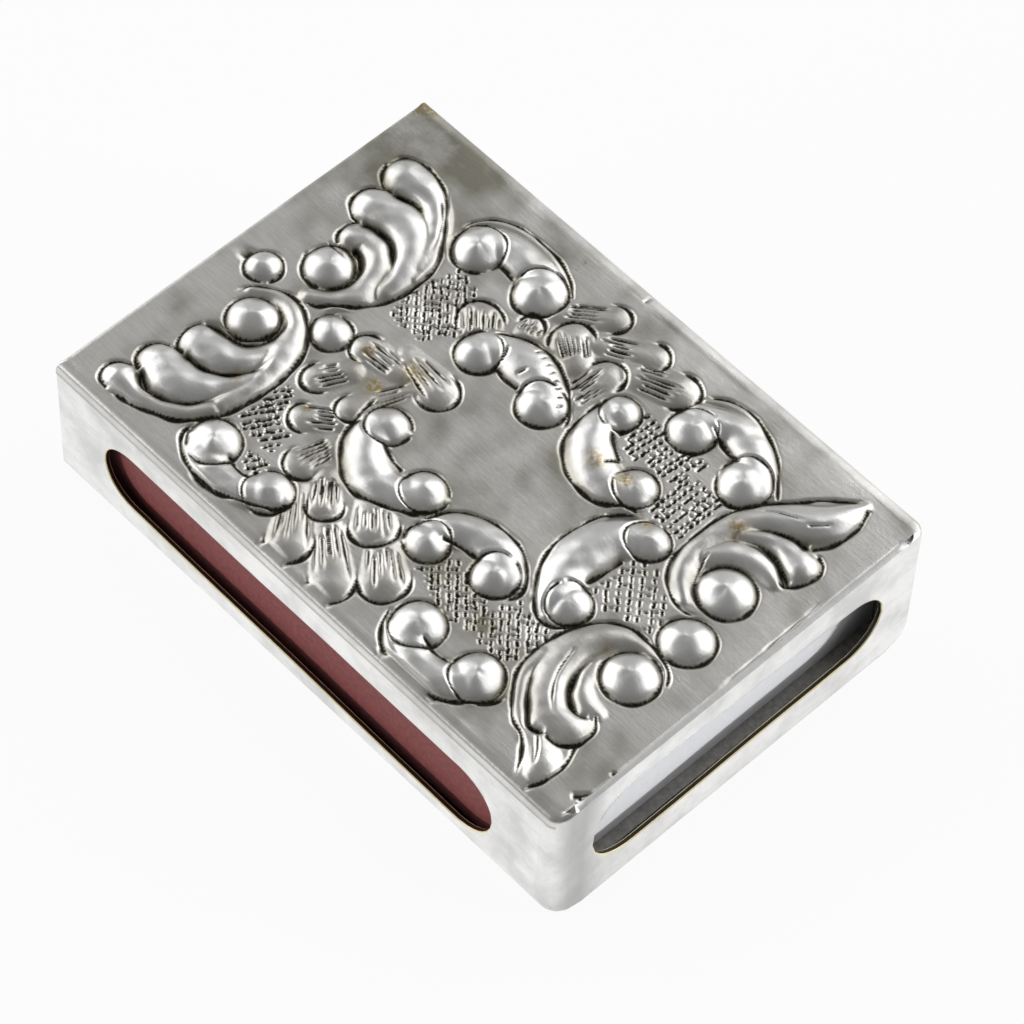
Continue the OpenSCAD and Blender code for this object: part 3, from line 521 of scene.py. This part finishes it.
def quads(base, rows, width, order=(0, 1, 3, 2)):
    """Faces over rows of points; order: how a face runs round a point, its neighbour and those of the next row."""
    faces = []
    for a in (base + i * width + k for i in range(rows - 1) for k in range(width - 1)):
        corners = (a, a + 1, a + width, a + width + 1)
        faces.append(tuple(corners[c] for c in order))
    return faces


# ---------------------------------------------------------------- materials


def new_material(name):
    material = bpy.data.materials.new(name)
    material.use_nodes = True
    return material, material.node_tree, material.node_tree.nodes["Principled BSDF"]


def connect(tree, target, inputs):
    """Links values to a node's sockets, which go by name or number, or sets them there as constants."""
    for key, value in inputs.items():
        socket = target.inputs[key]
        if hasattr(value, "links"):
            tree.links.new(value, socket)
        else:
            socket.default_value = (*value, 1) if socket.type == "RGBA" else value


def node(tree, kind, inputs, **settings):
    n = assign(tree.nodes.new("ShaderNode" + kind), **settings)
    connect(tree, n, inputs)
    return n


def coordinates(tree, kind):
    return node(tree, "TexCoord", {}).outputs[kind]


def place(tree, scale=(1, 1, 1)):
    """Object coordinates in millimetres, stretched."""
    inputs = {"Vector": coordinates(tree, "Object"), "Scale": [1000 * s for s in scale]}
    return node(tree, "Mapping", inputs).outputs["Vector"]


def axes(tree, vector):
    return node(tree, "SeparateXYZ", {0: vector}).outputs


def attribute(tree, name):
    return node(tree, "Attribute", {}, attribute_name=name).outputs["Fac"]


def noise(tree, vector, scale, detail, roughness):
    inputs = {"Vector": vector, "Scale": scale, "Detail": detail, "Roughness": roughness}
    return node(tree, "TexNoise", inputs).outputs["Fac"]


def ramp(tree, value, *stops):
    """A ramp through stops, each a place and a grey."""
    n = node(tree, "ValToRGB", {"Fac": value})
    elements = n.color_ramp.elements
    while len(elements) < len(stops):
        elements.new(0.5)
    for e, (at, grey) in zip(elements, stops):
        e.position = at
        e.color = (grey, grey, grey, 1)
    return n.outputs["Color"]


def mix(tree, factor, a, b):
    return node(tree, "Mix", {0: factor, 6: a, 7: b}, data_type="RGBA").outputs[2]


def calc(tree, operation, *values, clamp=False):
    inputs = dict(enumerate(values))
    return node(tree, "Math", inputs, operation=operation, use_clamp=clamp).outputs[0]


def times(tree, a, b, clamp=False):
    return calc(tree, "MULTIPLY", a, b, clamp=clamp)


def lies_along(tree, vector, axis):
    """How far a direction lies along an axis."""
    return node(tree, "VectorMath", {0: vector, 1: axis}, operation="DOT_PRODUCT").outputs["Value"]


def fade(tree, value, start, stop, before, after):
    """Goes from one value to another while the input goes from start to stop."""
    inputs = {"Value": value, "From Min": start, "From Max": stop, "To Min": before, "To Max": after}
    return node(tree, "MapRange", inputs, interpolation_type="SMOOTHSTEP").outputs["Result"]


def bump(tree, height, strength, distance, **under):
    """A normal bumped by a distance in millimetres, over another Normal if one is given."""
    inputs = {"Height": height, "Strength": strength, "Distance": distance * MM, **under}
    return node(tree, "Bump", inputs).outputs["Normal"]


def darker(tint, share):
    return tuple(share * c for c in tint)


SHEET_TINT = (0.93, 0.925, 0.91)
TOP_TINT = (0.83, 0.82, 0.785)


def chased_looks(tree, colour, rough, cloudy, grain):
    """Colour and roughness of the top: polished heights, brass worn bare, a yellow film thinned in places as painted
    light, tarnish in the hollows.
    """
    tarnish, wear, polish, film_and_painted_light = (attribute(tree, name) for name in ("tarnish", "wear", "polish", "film_and_painted_light"))
    bare = times(tree, wear, ramp(tree, grain, (0.38, 0.1), (0.56, 1.0)), clamp=True)
    film_and_painted_light = times(tree, film_and_painted_light, ramp(tree, cloudy, (0.35, 0.4), (0.6, 1.0)))
    stain = times(tree, tarnish, 1.4, clamp=True)
    spots = calc(tree, "SUBTRACT", times(tree, tarnish, 1.5), ramp(tree, grain, (0.3, 0.2), (0.7, 0.7)), clamp=True)
    for mask, tone in ((times(tree, polish, 0.75), (0.87, 0.87, 0.86)), (bare, (0.42, 0.29, 0.08)),
                       (times(tree, film_and_painted_light, 0.85), (0.3, 0.29, 0.235)), (times(tree, stain, 0.65), (0.34, 0.31, 0.22)),
                       (spots, (0.03, 0.027, 0.02))):
        colour = mix(tree, mask, colour, tone)
    rough = calc(tree, "ADD", rough, times(tree, polish, 0.03))
    return colour, calc(tree, "ADD", rough, times(tree, spots, 0.3), clamp=True)


def within_rims(tree, x, y, z):
    """A mask of the places where the window's and the slot's cut edges lie."""
    past_window = calc(tree, "SUBTRACT", calc(tree, "ABSOLUTE", x), WINDOW_X)
    past_slot = calc(tree, "SUBTRACT", calc(tree, "ABSOLUTE", y), SLOT_Y)
    near = calc(tree, "LESS_THAN", calc(tree, "MINIMUM", past_window, past_slot), 0)
    return times(tree, calc(tree, "GREATER_THAN", z, RIM_LOW), near)


def silver(name, tint=SHEET_TINT, brushing=0.3, brush_axis=0, chased=False, corner_painted_shade=False, edge=None, cut=False):
    """Silver plate with dull bands and fine brush marks along an axis.

    chased: as the top plate looks; corner_painted_shade: painted shade, darker near one end of the end plate; edge:
    the colour below the seam (near black for painted shade inside the case), or, where cut is set, only of the
    openings' cut edges.
    """
    material, tree, shader = new_material(name)
    shader.inputs["Metallic"].default_value = 1.0

    def streaks(across, along, detail, roughness):
        scale = [across] * 3
        scale[brush_axis] = along
        return noise(tree, place(tree, scale), 1.0, detail, roughness)

    brushed = streaks(7, 0.5, 2.0, 0.6)
    banded = streaks(1.6, 0.12, 4.0, 0.65)
    cloudy = noise(tree, place(tree), 0.2, 6.0, 0.62)
    grain = noise(tree, place(tree), 3.2, 4.0, 0.7)
    share = 0.35 * brushing
    dull = calc(tree, "ADD", times(tree, banded, share), times(tree, cloudy, 1 - share))
    colour = mix(tree, ramp(tree, dull, (0.4, 0.0), (0.62, 1.0)), tint, darker(tint, 0.74))
    colour = mix(tree, ramp(tree, brushed, (0.4, 0.0), (0.75, 0.35 * brushing)), colour, darker(tint, 0.6))
    rough = calc(tree, "MULTIPLY_ADD", dull, 0.3, 0.16)
    if chased:
        colour, rough = chased_looks(tree, colour, rough, cloudy, grain)
    x, y, z = axes(tree, place(tree))
    # painted shade: the end plate's colour darker near one end, by the upright corner
    if corner_painted_shade:
        near = ramp(tree, times(tree, y, -0.05), (0.7, 0.0), (0.83, 0.8), (0.9, 0.7), (0.96, 0.1))
        colour = mix(tree, near, colour, darker(tint, 0.4))
    if edge:
        # below the seam: the near black given for the inside and the cut faces is painted shade; with cut set it is
        # brass on the openings' edges
        mask = calc(tree, "LESS_THAN", z, RIM_HIGH)
        if cut:
            mask = times(tree, mask, within_rims(tree, x, y, z))
        colour = mix(tree, mask, colour, edge)
        connect(tree, shader, {"Metallic": calc(tree, "SUBTRACT", 1, times(tree, mask, 0.6))})
    normal = bump(tree, brushed, 0.4 * brushing, 0.02, Normal=bump(tree, grain, 0.4, 0.03))
    connect(tree, shader, {"Base Color": colour, "Roughness": rough, "Normal": normal})
    return material


def card(name, tint, fibre, rough=0.85):
    """Card or paint with small specks, darker by the share fibre."""
    material, tree, shader = new_material(name)
    speck = noise(tree, place(tree), 2.2, 6.0, 0.7)
    colour = mix(tree, ramp(tree, speck, (0.35, 0.0), (0.65, 1.0)), tint, darker(tint, 1 - fibre))
    connect(tree, shader, {"Base Color": colour, "Roughness": rough, "Normal": bump(tree, speck, 0.4, 0.05)})
    return material


def wood(name, tint):
    """Splints of light wood, each with its own shade."""
    material, tree, shader = new_material(name)
    grain = noise(tree, place(tree, (0.12, 2.5, 2.5)), 1.0, 5.0, 0.7)
    fibre = noise(tree, place(tree, (0.5, 9, 9)), 1.0, 3.0, 0.6)
    colour = mix(tree, attribute(tree, "shade"), tint, darker(tint, 0.82))
    colour = mix(tree, ramp(tree, grain, (0.4, 0.0), (0.62, 0.55)), colour, (0.52, 0.32, 0.15))
    connect(tree, shader, {"Base Color": colour, "Roughness": 0.75, "Normal": bump(tree, fibre, 0.6, 0.04)})
    return material


SILVER_TOP = silver("silver_chased", TOP_TINT, 1.0, chased=True)
SILVER_CASE = silver("silver_sheet")
# painted shade near one end of the end plate
SILVER_END = silver("silver_end", brush_axis=1, corner_painted_shade=True)
# near black below the seam: painted shade on the inside of the case and on the sheet's cut faces round the openings
SILVER_INSIDE_PAINTED_SHADE = silver("silver_inside_painted_shade", edge=(0.02, 0.017, 0.013))
CUT_EDGE = silver("cut_edge", edge=(0.78, 0.68, 0.4), cut=True)
PAPER = card("white_paper", (0.84, 0.85, 0.875), 0.06)
BOARD = card("grey_board", (0.45, 0.44, 0.42), 0.4)
STRIKER = card("striker_coat", (0.235, 0.07, 0.068), 0.35, 0.7)
ASPEN = wood("aspen", (0.76, 0.57, 0.34))
HEAD = card("match_head", (0.12, 0.02, 0.015), 0.3, 0.6)

# ---------------------------------------------------------------- the chased top

STEP = 0.12
EDGE_STEPS = 6


def arris(angle):
    """The fold round the plate: a quarter turn, a little squarer than a circle, as shares of its radius."""
    return math.cos(angle) ** 0.6, math.sin(angle) ** 0.6


def pull_at(x):
    """How far the sides draw in round the upright corners at a place along the case."""
    past = max(0, x - (END_X - CORNER_R))
    return CORNER_R - math.sqrt(CORNER_R**2 - past**2)


def plate_rows():
    """Places along the plate, close together over the ornament and round its cut ends."""
    start, stop = -25.9, 27.1
    middle = np.linspace(start, stop, int((stop - start) / STEP) + 1)
    return np.concatenate([plate_low[0] + np.array((0, 0.05, 0.15, 0.35, 1.1)), middle,
                           plate_high[0] - np.array((0.3, 0.2, 0.12, 0.04, 0))])


def worn(x, y):
    """How far the plating is worn through."""
    wear = 0.0
    for u, v, radius, force in WORN:
        d = np.hypot(x - ORNAMENT_AT[0] - u, y - ORNAMENT_AT[1] - v)
        wear = np.maximum(wear, force * np.exp(-((d / radius) ** 2)))
    return wear


def plate_face(xs, ys, reach):
    """Over the face: its height above the flat sheet, its tarnish, polish, wear, and yellow film thinned in places as
    painted light.
    """
    r = draw_relief(xs, ys)
    form = blur(r.form, 0.09 / STEP) if STEP < 0.3 else r.form
    u, v = np.meshgrid(xs, ys, indexing="ij")
    ground = 1 - smooth(form, 0.0, 0.12)
    hammered = 0.01 * ripples(u, v, 1.4) * smooth(form, 0.1, 0.5) + 0.012 * ripples(u, v, 8.0)
    shore = smooth(reach - np.abs(v), 0.0, 0.45)
    height = form * shore - r.cut - r.fold - r.matting * ground + hammered * shore
    past = np.clip(plate_low[0] + CUT_R - xs, 0, CUT_R)
    height -= (CUT_R - np.sqrt(CUT_R**2 - past**2))[:, None]
    seam = smooth(xs, plate_high[0] - 0.2, plate_high[0])
    height -= seam[:, None] * (0.07 - 0.085 * smooth(np.abs(v), 16.8, 17.6))

    # tarnish gathers in hollows, in cuts, at the foot of the forms and in punch marks
    cavity = np.clip((blur(height, 0.45 / STEP) - height) / 0.3, 0, 1)
    halo = (1 - smooth(form, 0.1, 0.45)) * np.clip(blur(form, 0.9 / STEP) / 0.4, 0, 1)
    tarnish = (0.42 * cavity + smooth(r.cut, 0.07, 0.18) + 0.42 * halo
               + 1.2 * ground * smooth(r.matting, 0.03, 0.1))
    # the film is thick in one far corner; it is thinned by the end, the near side and the open end as painted light,
    # so the top is lighter there
    corner = np.exp(-((u + 26) ** 2 + (v - 17) ** 2) / 70)
    bright = 0.8 * np.exp(-((u - 25) ** 2 + (v - 8) ** 2) / 120) + np.exp(-((v + 19) ** 2) / 6)
    bright += 0.7 * np.exp(-((u + 27) ** 2) / 8) * smooth(-v, -6, 4)
    film_and_painted_light = 0.3 + 0.25 * ripples(u, v, 9.0) + 0.2 * ripples(u, v, 3.0) + 1.3 * corner - 0.5 * bright
    film_and_painted_light = np.clip(film_and_painted_light, 0, 1.4) * (1 - 0.7 * smooth(form, 0.1, 0.5))
    return height, np.clip(tarnish, 0, 1), smooth(form, 0.25, 0.8), worn(u, v), film_and_painted_light


def cap(o, a, row, width):
    """Faces over a cut end, from the outer row of points that starts at o to the inner one at a."""
    half = EDGE_STEPS
    faces = [(o + k, o + k + 1, a + k + 1, a + k) for k in range(half)]
    faces += [(o + k, o + k + 1, a + half) for k in range(half, row // 2)]
    faces.append((o + row // 2, a + half + 1, a + half))
    faces += [(o + k, o + k + 1, a + half + 1) for k in range(row // 2, row - 1 - half)]
    a += width - row
    return faces + [(o + k, o + k + 1, a + k + 1, a + k) for k in range(row - 1 - half, row - 1)]


def build_top():
    xs = plate_rows()
    reach = SIDE_Y - EDGE_R
    ys = np.linspace(-reach, reach, int(2 * reach / STEP) + 1)
    height, *looks = plate_face(xs, ys, reach)
    top, looks = TOP_Z + height, np.stack(looks, -1)

    # rows of points and their looks: left edge up, over the face, right edge down
    angles = np.linspace(0, math.pi / 2, EDGE_STEPS + 1)[:-1]
    fold = [(reach + EDGE_R * arris(a)[0], SEAM_Z + EDGE_R * arris(a)[1]) for a in angles]
    fold[0] = (fold[0][0], SEAM_Z - 0.09)
    points = []
    for i, x in enumerate(xs):
        pull = pull_at(x)
        left, right = ([((x, side * (y - pull), z), (0, 0, worn(x, side * (y - pull)), 0.6 * looks[i, j, 3]))
                        for y, z in fold] for side, j in ((-1, 0), (1, -1)))
        inward = (reach - pull) / reach
        points += left + [((x, y * inward, z), look) for y, z, look in zip(ys, top[i], looks[i])] + right[::-1]
    # under the sheet: a few points a row
    inner_r = EDGE_R - SHEET
    under = [(-(reach + inner_r * math.cos(a)), SEAM_Z + inner_r * math.sin(a)) for a in angles]
    under += [(-reach, TOP_Z - SHEET), (reach, TOP_Z - SHEET)]
    under += [(-y, z) for y, z in under[EDGE_STEPS - 1::-1]]
    base = len(points)
    for x in xs:
        points += [((x, y - math.copysign(pull_at(x), y), z), (0.75, 0, 0, 1)) for y, z in under]

    row, width, last = 2 * EDGE_STEPS + len(ys), len(under), len(xs) - 1
    faces = quads(0, len(xs), row, (0, 2, 3, 1))
    for i in range(last):
        o, a = i * row, base + i * width
        p, b = o + row, a + width
        faces += quads(a, 2, width, (1, 3, 2, 0))
        faces += [(a, b, p, o), (p - 1, p + row - 1, b + width - 1, b - 1)]
    faces += cap(0, base, row, width)
    faces += [f[::-1] for f in cap(last * row, base + last * width, row, width)]
    obj = make_object("chased_top", [p for p, _ in points], faces, "holder", ["embossed_top"],
                      SILVER_TOP)
    values = np.array([look for _, look in points], np.float32).T.copy()
    for name, layer in zip(("tarnish", "polish", "wear", "film_and_painted_light"), values):
        obj.data.attributes.new(name, "FLOAT", "POINT").data.foreach_set("value", layer)


build_top()

# ---------------------------------------------------------------- the case round it

# How far out the points of an opening's panel lie, as shares of the way to its border
RINGS = (0, 0.15, 0.3, 0.5, 0.75, 1)
COLUMNS = [FOLD_R, 4, 6.5, 9, 11, SEAM_Z]


def smooth_edges(obj, width, turn=40, material=-1):
    """Rounds a sheet's cut edges a little, and keeps its faces flat to the eye."""
    assign(obj.modifiers.new("bevel", "BEVEL"), width=width * MM, segments=2, limit_method="ANGLE",
           angle_limit=math.radians(turn), use_clamp_overlap=True, material=material)
    assign(obj.modifiers.new("normals", "WEIGHTED_NORMAL"), keep_sharp=True, weight=80)


def thicken(obj):
    """Gives a skin the sheet's thickness, inward, with one material inside and one on the cut edges."""
    for material in (SILVER_INSIDE_PAINTED_SHADE, CUT_EDGE):
        obj.data.materials.append(material)
    # the inside and the cut faces take the inside's material, painted near black below the seam as shade
    assign(obj.modifiers.new("thickness", "SOLIDIFY"), thickness=SHEET * MM, offset=-1, use_even_offset=True,
           material_offset_rim=1, material_offset=1)


def hand_cut(length, h0, h1, z0, z1, middle):
    """The two end circles of a hand-cut opening: place along, height, radius."""
    return ((middle - length / 2 + h0 / 2, z0, h0 / 2), (middle + length / 2 - h1 / 2, z1, h1 / 2))


def ring_panel(ends, low, high, along, wander):
    """Points and faces of a flat panel between a hand-cut opening and the oblong round it.

    The points on the oblong's lower and upper edges are at along, on its upright edges at COLUMNS.
    Each point also carries its distance from the opening's edge, in mm and as a share of the way.
    """
    (x0, z0, r0), (x1, z1, r1) = ends
    border = [(x, low[1]) for x in along] + [(high[0], z) for z in COLUMNS[1:-1]]
    border += [(x, high[1]) for x in along[::-1]] + [(low[0], z) for z in COLUMNS[-2:0:-1]]
    start, axis, n = np.array((x0, z0)), np.array((x1 - x0, z1 - z0)), len(border)
    points, reach = [], []
    for t in RINGS:
        for k, p in enumerate(np.array(border)):
            share = np.clip((p - start) @ axis / (axis @ axis), 0, 1)
            c = start + share * axis
            way = (p - c) / np.hypot(*(p - c))
            stray = 0.05 * math.sin(wander * share + 2 * k / n) * share * (1 - share) * 4
            edge = c + way * (r0 + share * (r1 - r0) + stray)
            points.append(edge + t * (p - edge))
            reach.append((t * np.hypot(*(p - edge)), t))
    faces = [(a + k, a + (k + 1) % n, a + (k + 1) % n + n, a + k + n)
             for a in range(0, (len(RINGS) - 1) * n, n) for k in range(n)]
    return points, reach, faces


def round_opening(edge):
    """Whether a sharp edge runs round the window or the slot."""
    for x, y, z in (v.co / MM for v in edge.verts):
        if not (RIM_LOW < z < RIM_HIGH and (abs(x) < WINDOW_X or abs(y) < SLOT_Y)):
            return False
    return edge.is_manifold and edge.calc_face_angle() > math.radians(60)


def weld(name, verts, faces, node, material):
    """A piece of sheet from a skin of points in millimetres, with its openings' edges rounded."""
    obj = make_object(name, verts, faces, "holder", [node], material)
    mesh = bmesh.new()
    mesh.from_mesh(obj.data)
    bmesh.ops.remove_doubles(mesh, verts=mesh.verts, dist=0.002 * MM)
    bmesh.ops.recalc_face_normals(mesh, faces=mesh.faces)
    mesh.to_mesh(obj.data)
    mesh.free()
    thicken(obj)
    evaluated = obj.evaluated_get(bpy.context.evaluated_depsgraph_get())
    solid = bpy.data.meshes.new_from_object(evaluated)
    obj.modifiers.clear()
    mesh = bmesh.new()
    mesh.from_mesh(solid)
    rims = [e for e in mesh.edges if round_opening(e)]
    bmesh.ops.bevel(mesh, geom=rims, offset=0.1 * MM, offset_type="OFFSET", segments=2, profile=0.5,
                    affect="EDGES", clamp_overlap=True, material=2)
    mesh.to_mesh(solid)
    mesh.free()
    obj.data = solid
    smooth_edges(obj, 0.1, 60, 2)


def build_channel():
    along = list(np.linspace(-END_X, SEAM_X, 46))
    dents = ripples(np.array(along)[:, None], np.zeros((1, 1)), 16)[:, 0]
    points, _, ring = ring_panel(hand_cut(43.8, 6.7, 7.5, 7.05, 6.35, -0.8), (-END_X, FOLD_R),
                                 (SEAM_X, SEAM_Z), along, 9)
    verts, faces = [], []
    for side in (-1, 1):
        faces += [tuple(len(verts) + k for k in f) for f in ring]
        for x, z in points:
            bow = 0.05 * math.sin(math.pi * np.clip((z - FOLD_R) / (SEAM_Z - FOLD_R), 0, 1)) ** 2
            verts.append((x, side * (SIDE_Y - bow * (1 + 0.4 * np.interp(x, along, dents))), z))
    # the underside, with its folds
    profile = [(SIDE_Y - FOLD_R + FOLD_R * math.cos(a), FOLD_R - FOLD_R * math.sin(a))
               for a in np.linspace(0, math.pi / 2, 8)] + [(9, 0.0), (0, 0.0)]
    profile += [(-y, z) for y, z in profile[-2::-1]]
    rows = along + [26.7, 26.97, 27.24, 27.5]
    faces += quads(len(verts), len(rows), len(profile))
    verts += [(x, y - math.copysign(pull_at(x), y) if y else 0.0, z) for x in rows for y, z in profile]
    weld("folded_case", verts, faces, "body_channel", SILVER_CASE)


def build_end():
    flat = SIDE_Y - CORNER_R
    along = list(np.linspace(-flat, flat, 40))
    points, reach, faces = ring_panel(hand_cut(30.8, 8.9, 7.3, 7.25, 6.75, 0.0), (-flat, FOLD_R),
                                      (flat, SEAM_Z), along, 7)
    verts = [(END_X - DISH * math.exp(-((d / 1.1) ** 2)) * (1 - share**2), y, z)
             for (y, z), (d, share) in zip(points, reach)]
    # strips under and over the panel, and the corners
    low_rows = [(FOLD_R - FOLD_R * math.sin(a), SIDE_Y - FOLD_R + FOLD_R * math.cos(a))
                for a in np.radians((0, 18, 36, 54, 90))]
    high_rows = [(SEAM_Z + EDGE_R * arris(a)[1], SIDE_Y - EDGE_R + EDGE_R * arris(a)[0])
                 for a in np.linspace(0, math.pi / 2, 7)[:-2]] + [(TOP_Z, SIDE_Y - EDGE_R)]
    corner = [(END_X - CORNER_R + CORNER_R * math.cos(a), flat + CORNER_R * math.sin(a))
              for a in (math.radians(a) for a in (0, 13, 26, 39, 52, 65, 78, 90))]
    for strip in (low_rows, high_rows):
        faces += quads(len(verts), len(strip), len(along) + 8)
        for z, reach_y in strip:
            drawn_in = SIDE_Y - reach_y
            turned = [(x, y - drawn_in, z) for x, y in corner[1:5]]
            verts += [(x, -y, z) for x, y, z in turned[::-1]]
            verts += [(END_X, y * (flat - drawn_in) / flat, z) for y in along]
            verts += turned
    corner.append((SEAM_X, SIDE_Y))
    for side in (-1, 1):
        faces += quads(len(verts), len(COLUMNS), len(corner))
        verts += [(x, side * y, z) for z in COLUMNS for x, y in corner]
    weld("fitted_end", verts, faces, "end_plate", SILVER_END)


build_channel()
build_end()

# ---------------------------------------------------------------- CAD nodes that keep their shape

for name, material in (("matchbox_sleeve", BOARD), ("striker_strip_front", STRIKER),
                       ("striker_strip_back", STRIKER), ("matchbox_tray", PAPER)):
    kept = frame["nodes"][name].data.materials
    kept.clear()
    kept.append(material)

# ---------------------------------------------------------------- the matches


def islands(mesh):
    """The separate solids of a CAD node, each as a list of its vertices."""
    left, found = set(mesh.verts), []
    while left:
        group, edge = set(), [left.pop()]
        while edge:
            v = edge.pop()
            group.add(v)
            for other in (e.other_vert(v) for e in v.link_edges):
                if other in left:
                    left.discard(other)
                    edge.append(other)
        found.append(sorted(group, key=lambda v: v.index))
    return sorted(found, key=lambda g: g[0].index)


def split_matches(layer):
    """A layer of matches as they come: splints cut by hand, each a little off true, and lumpy heads."""
    lean = rng.normal(0, 1, (64, 4))
    for kind, material, slot in (("sticks", ASPEN, "match_wood"), ("heads", HEAD, "match_head")):
        source = frame["nodes"][f"match_{kind}_layer_{layer}"]
        mesh = bmesh.new()
        mesh.from_mesh(source.data)
        bmesh.ops.remove_doubles(mesh, verts=mesh.verts, dist=0.001 * MM)
        shade = mesh.verts.layers.float.new("shade")
        groups = sorted(islands(mesh), key=lambda g: sum(v.co.y for v in g) / len(g))
        low, high = (np.array(c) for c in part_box(f"match_sticks_layer_{layer}"))
        for n, group in enumerate(groups):
            a, b, c, d = lean[n]
            middle = sum((v.co for v in group), Vector()) / len(group)
            for v in group:
                share = (v.co.x - low[0]) / (high[0] - low[0]) - 0.5
                if kind == "heads":
                    out = v.co - middle
                    lump = 0.05 * math.sin(9 * share * n + 2500 * out.y + n) * math.sin(2300 * out.z + a)
                    v.co = middle + out * (0.96 + lump)
                else:
                    v.co.y = middle.y + (v.co.y - middle.y) * (0.94 + 0.03 * c)
                    v.co.z = middle.z + (v.co.z - middle.z) * (0.95 + 0.03 * d)
                v.co.y += 0.05 * MM * (np.clip(a, -1.5, 1.5) * share)
                v.co.z += 0.035 * MM * (np.clip(b, -1.5, 1.5) * share)
                v[shade] = 0.5 + 0.5 * math.tanh(c)
        data = bpy.data.meshes.new(f"match_{kind}_{layer}")
        mesh.to_mesh(data)
        mesh.free()
        data.materials.append(material)
        obj = add(f"split_{kind}_{layer}", data)
        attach(obj, "tray")
        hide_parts(source.name)
        if kind == "heads":
            data.shade_smooth()
        else:
            smooth_edges(obj, 0.12)


for layer in range(1, 5):
    split_matches(layer)

# ---------------------------------------------------------------- studio

CAMERA_AT = (151.02, -152.93, 322.46)  # millimetres
CAMERA_TURN = (44.104, 55.867, 2.941)  # azimuth, elevation and roll, in degrees
FOCAL_PIXELS = 4921.9  # for a picture 1024 pixels wide

# The studio's bright panels: which way they hang, and their half sizes
PANELS = (((-0.85, -0.24, 0.46), (0.52, 0.4)), ((0.19, 0.82, 0.54), (0.52, 0.43)))


def camera():
    azimuth, elevation, roll = (math.radians(a) for a in CAMERA_TURN)
    back = Vector((math.sin(azimuth) * math.cos(elevation), -math.cos(azimuth) * math.cos(elevation),
                   math.sin(elevation)))
    right = Vector((math.cos(azimuth), math.sin(azimuth), 0))
    up = back.cross(right)
    right, up = (math.cos(roll) * right + math.sin(roll) * up, -math.sin(roll) * right + math.cos(roll) * up)
    cam = add("camera", assign(bpy.data.cameras.new("camera"), sensor_width=36, lens=36 * FOCAL_PIXELS / 1024,
                               clip_start=0.01, clip_end=10))
    turn = Matrix((right, up, back)).transposed().to_4x4()
    cam.matrix_world = Matrix.Translation(Vector(CAMERA_AT) * MM) @ turn
    bpy.context.scene.camera = cam


def softbox(name, back, distance, size, watts):
    """An oblong lamp that points at the origin and isn't mirrored in the silver."""
    data = assign(bpy.data.lights.new(name, "AREA"), shape="RECTANGLE", size=size[0], size_y=size[1], energy=watts)
    assign(add(name, data), location=Vector(back).normalized() * distance, rotation_mode="QUATERNION",
           rotation_quaternion=(-Vector(back)).to_track_quat("-Z", "Y"), visible_glossy=False)


def panel(tree, coords, toward, size, soft=0.07):
    """How much of a soft panel hangs in a direction: an oblong with blurred edges, as sines from its middle."""
    middle = Vector(toward).normalized()
    across = Vector((0, 0, 1)).cross(middle).normalized()
    inside_x, inside_y = (
        fade(tree, calc(tree, "ABSOLUTE", lies_along(tree, coords, axis)), half - soft, half + soft, 1, 0)
        for axis, half in zip((across, middle.cross(across)), size))
    facing = calc(tree, "GREATER_THAN", lies_along(tree, coords, middle), 0.0)
    return times(tree, times(tree, inside_x, inside_y), facing)


def world():
    """A studio to be mirrored: a grey sky, darker near the camera, two bright panels, and white behind the part."""
    w = bpy.data.worlds.new("studio")
    bpy.context.scene.world = w
    w.use_nodes = True
    tree = w.node_tree
    coords = coordinates(tree, "Generated")
    sky = ramp(tree, axes(tree, coords)[2], (0.0, 0.62), (0.25, 0.45), (0.75, 0.36), (0.95, 0.22))
    near = lies_along(tree, coords, Vector((0.6, -0.6, 0.53)).normalized())
    sky = mix(tree, fade(tree, near, 0.35, 0.85, 0, 1), sky, (0.22, 0.22, 0.22))
    lit = calc(tree, "MAXIMUM", *(panel(tree, coords, *p) for p in PANELS))
    sky = mix(tree, lit, sky, (1.9, 1.9, 1.93))
    seen = node(tree, "LightPath", {}).outputs["Is Camera Ray"]
    connect(tree, tree.nodes["Background"], {"Color": mix(tree, seen, sky, (1, 1, 1)), "Strength": 1.0})


def floor():
    """A white table that glows where it is seen, so that only the contact shadow shows."""
    mesh = bpy.data.meshes.new("floor")
    half = 1.2
    mesh.from_pydata([(-half, -half, 0), (half, -half, 0), (half, half, 0), (-half, half, 0)], [], [(0, 1, 2, 3)])
    obj = add("floor", mesh)
    material, tree, shader = new_material("floor_white")
    connect(tree, shader, {"Base Color": (0.35, 0.35, 0.35), "Roughness": 0.9, "Specular IOR Level": 0.0})
    glow = node(tree, "Emission", {"Strength": 1.09}).outputs[0]
    rays = node(tree, "LightPath", {}).outputs
    seen = calc(tree, "ADD", rays["Is Camera Ray"], rays["Is Glossy Ray"], clamp=True)
    seen = calc(tree, "ADD", seen, rays["Is Transmission Ray"], clamp=True)
    blend = node(tree, "MixShader", {0: times(tree, seen, 0.85), 1: shader.outputs[0], 2: glow})
    connect(tree, tree.nodes["Material Output"], {"Surface": blend.outputs[0]})
    mesh.materials.append(material)


camera()
world()
floor()
softbox("left_lamp", (-0.42, -0.9, 0.07), 0.6, (0.14, 0.05), 1.9)
softbox("right_lamp", (0.75, 0.66, 0.09), 0.6, (0.14, 0.05), 2.4)
softbox("overhead_lamp", (-0.3, 0.3, 1.0), 0.9, (0.8, 0.8), 2.0)

bpy.context.scene.view_settings.view_transform = "Standard"
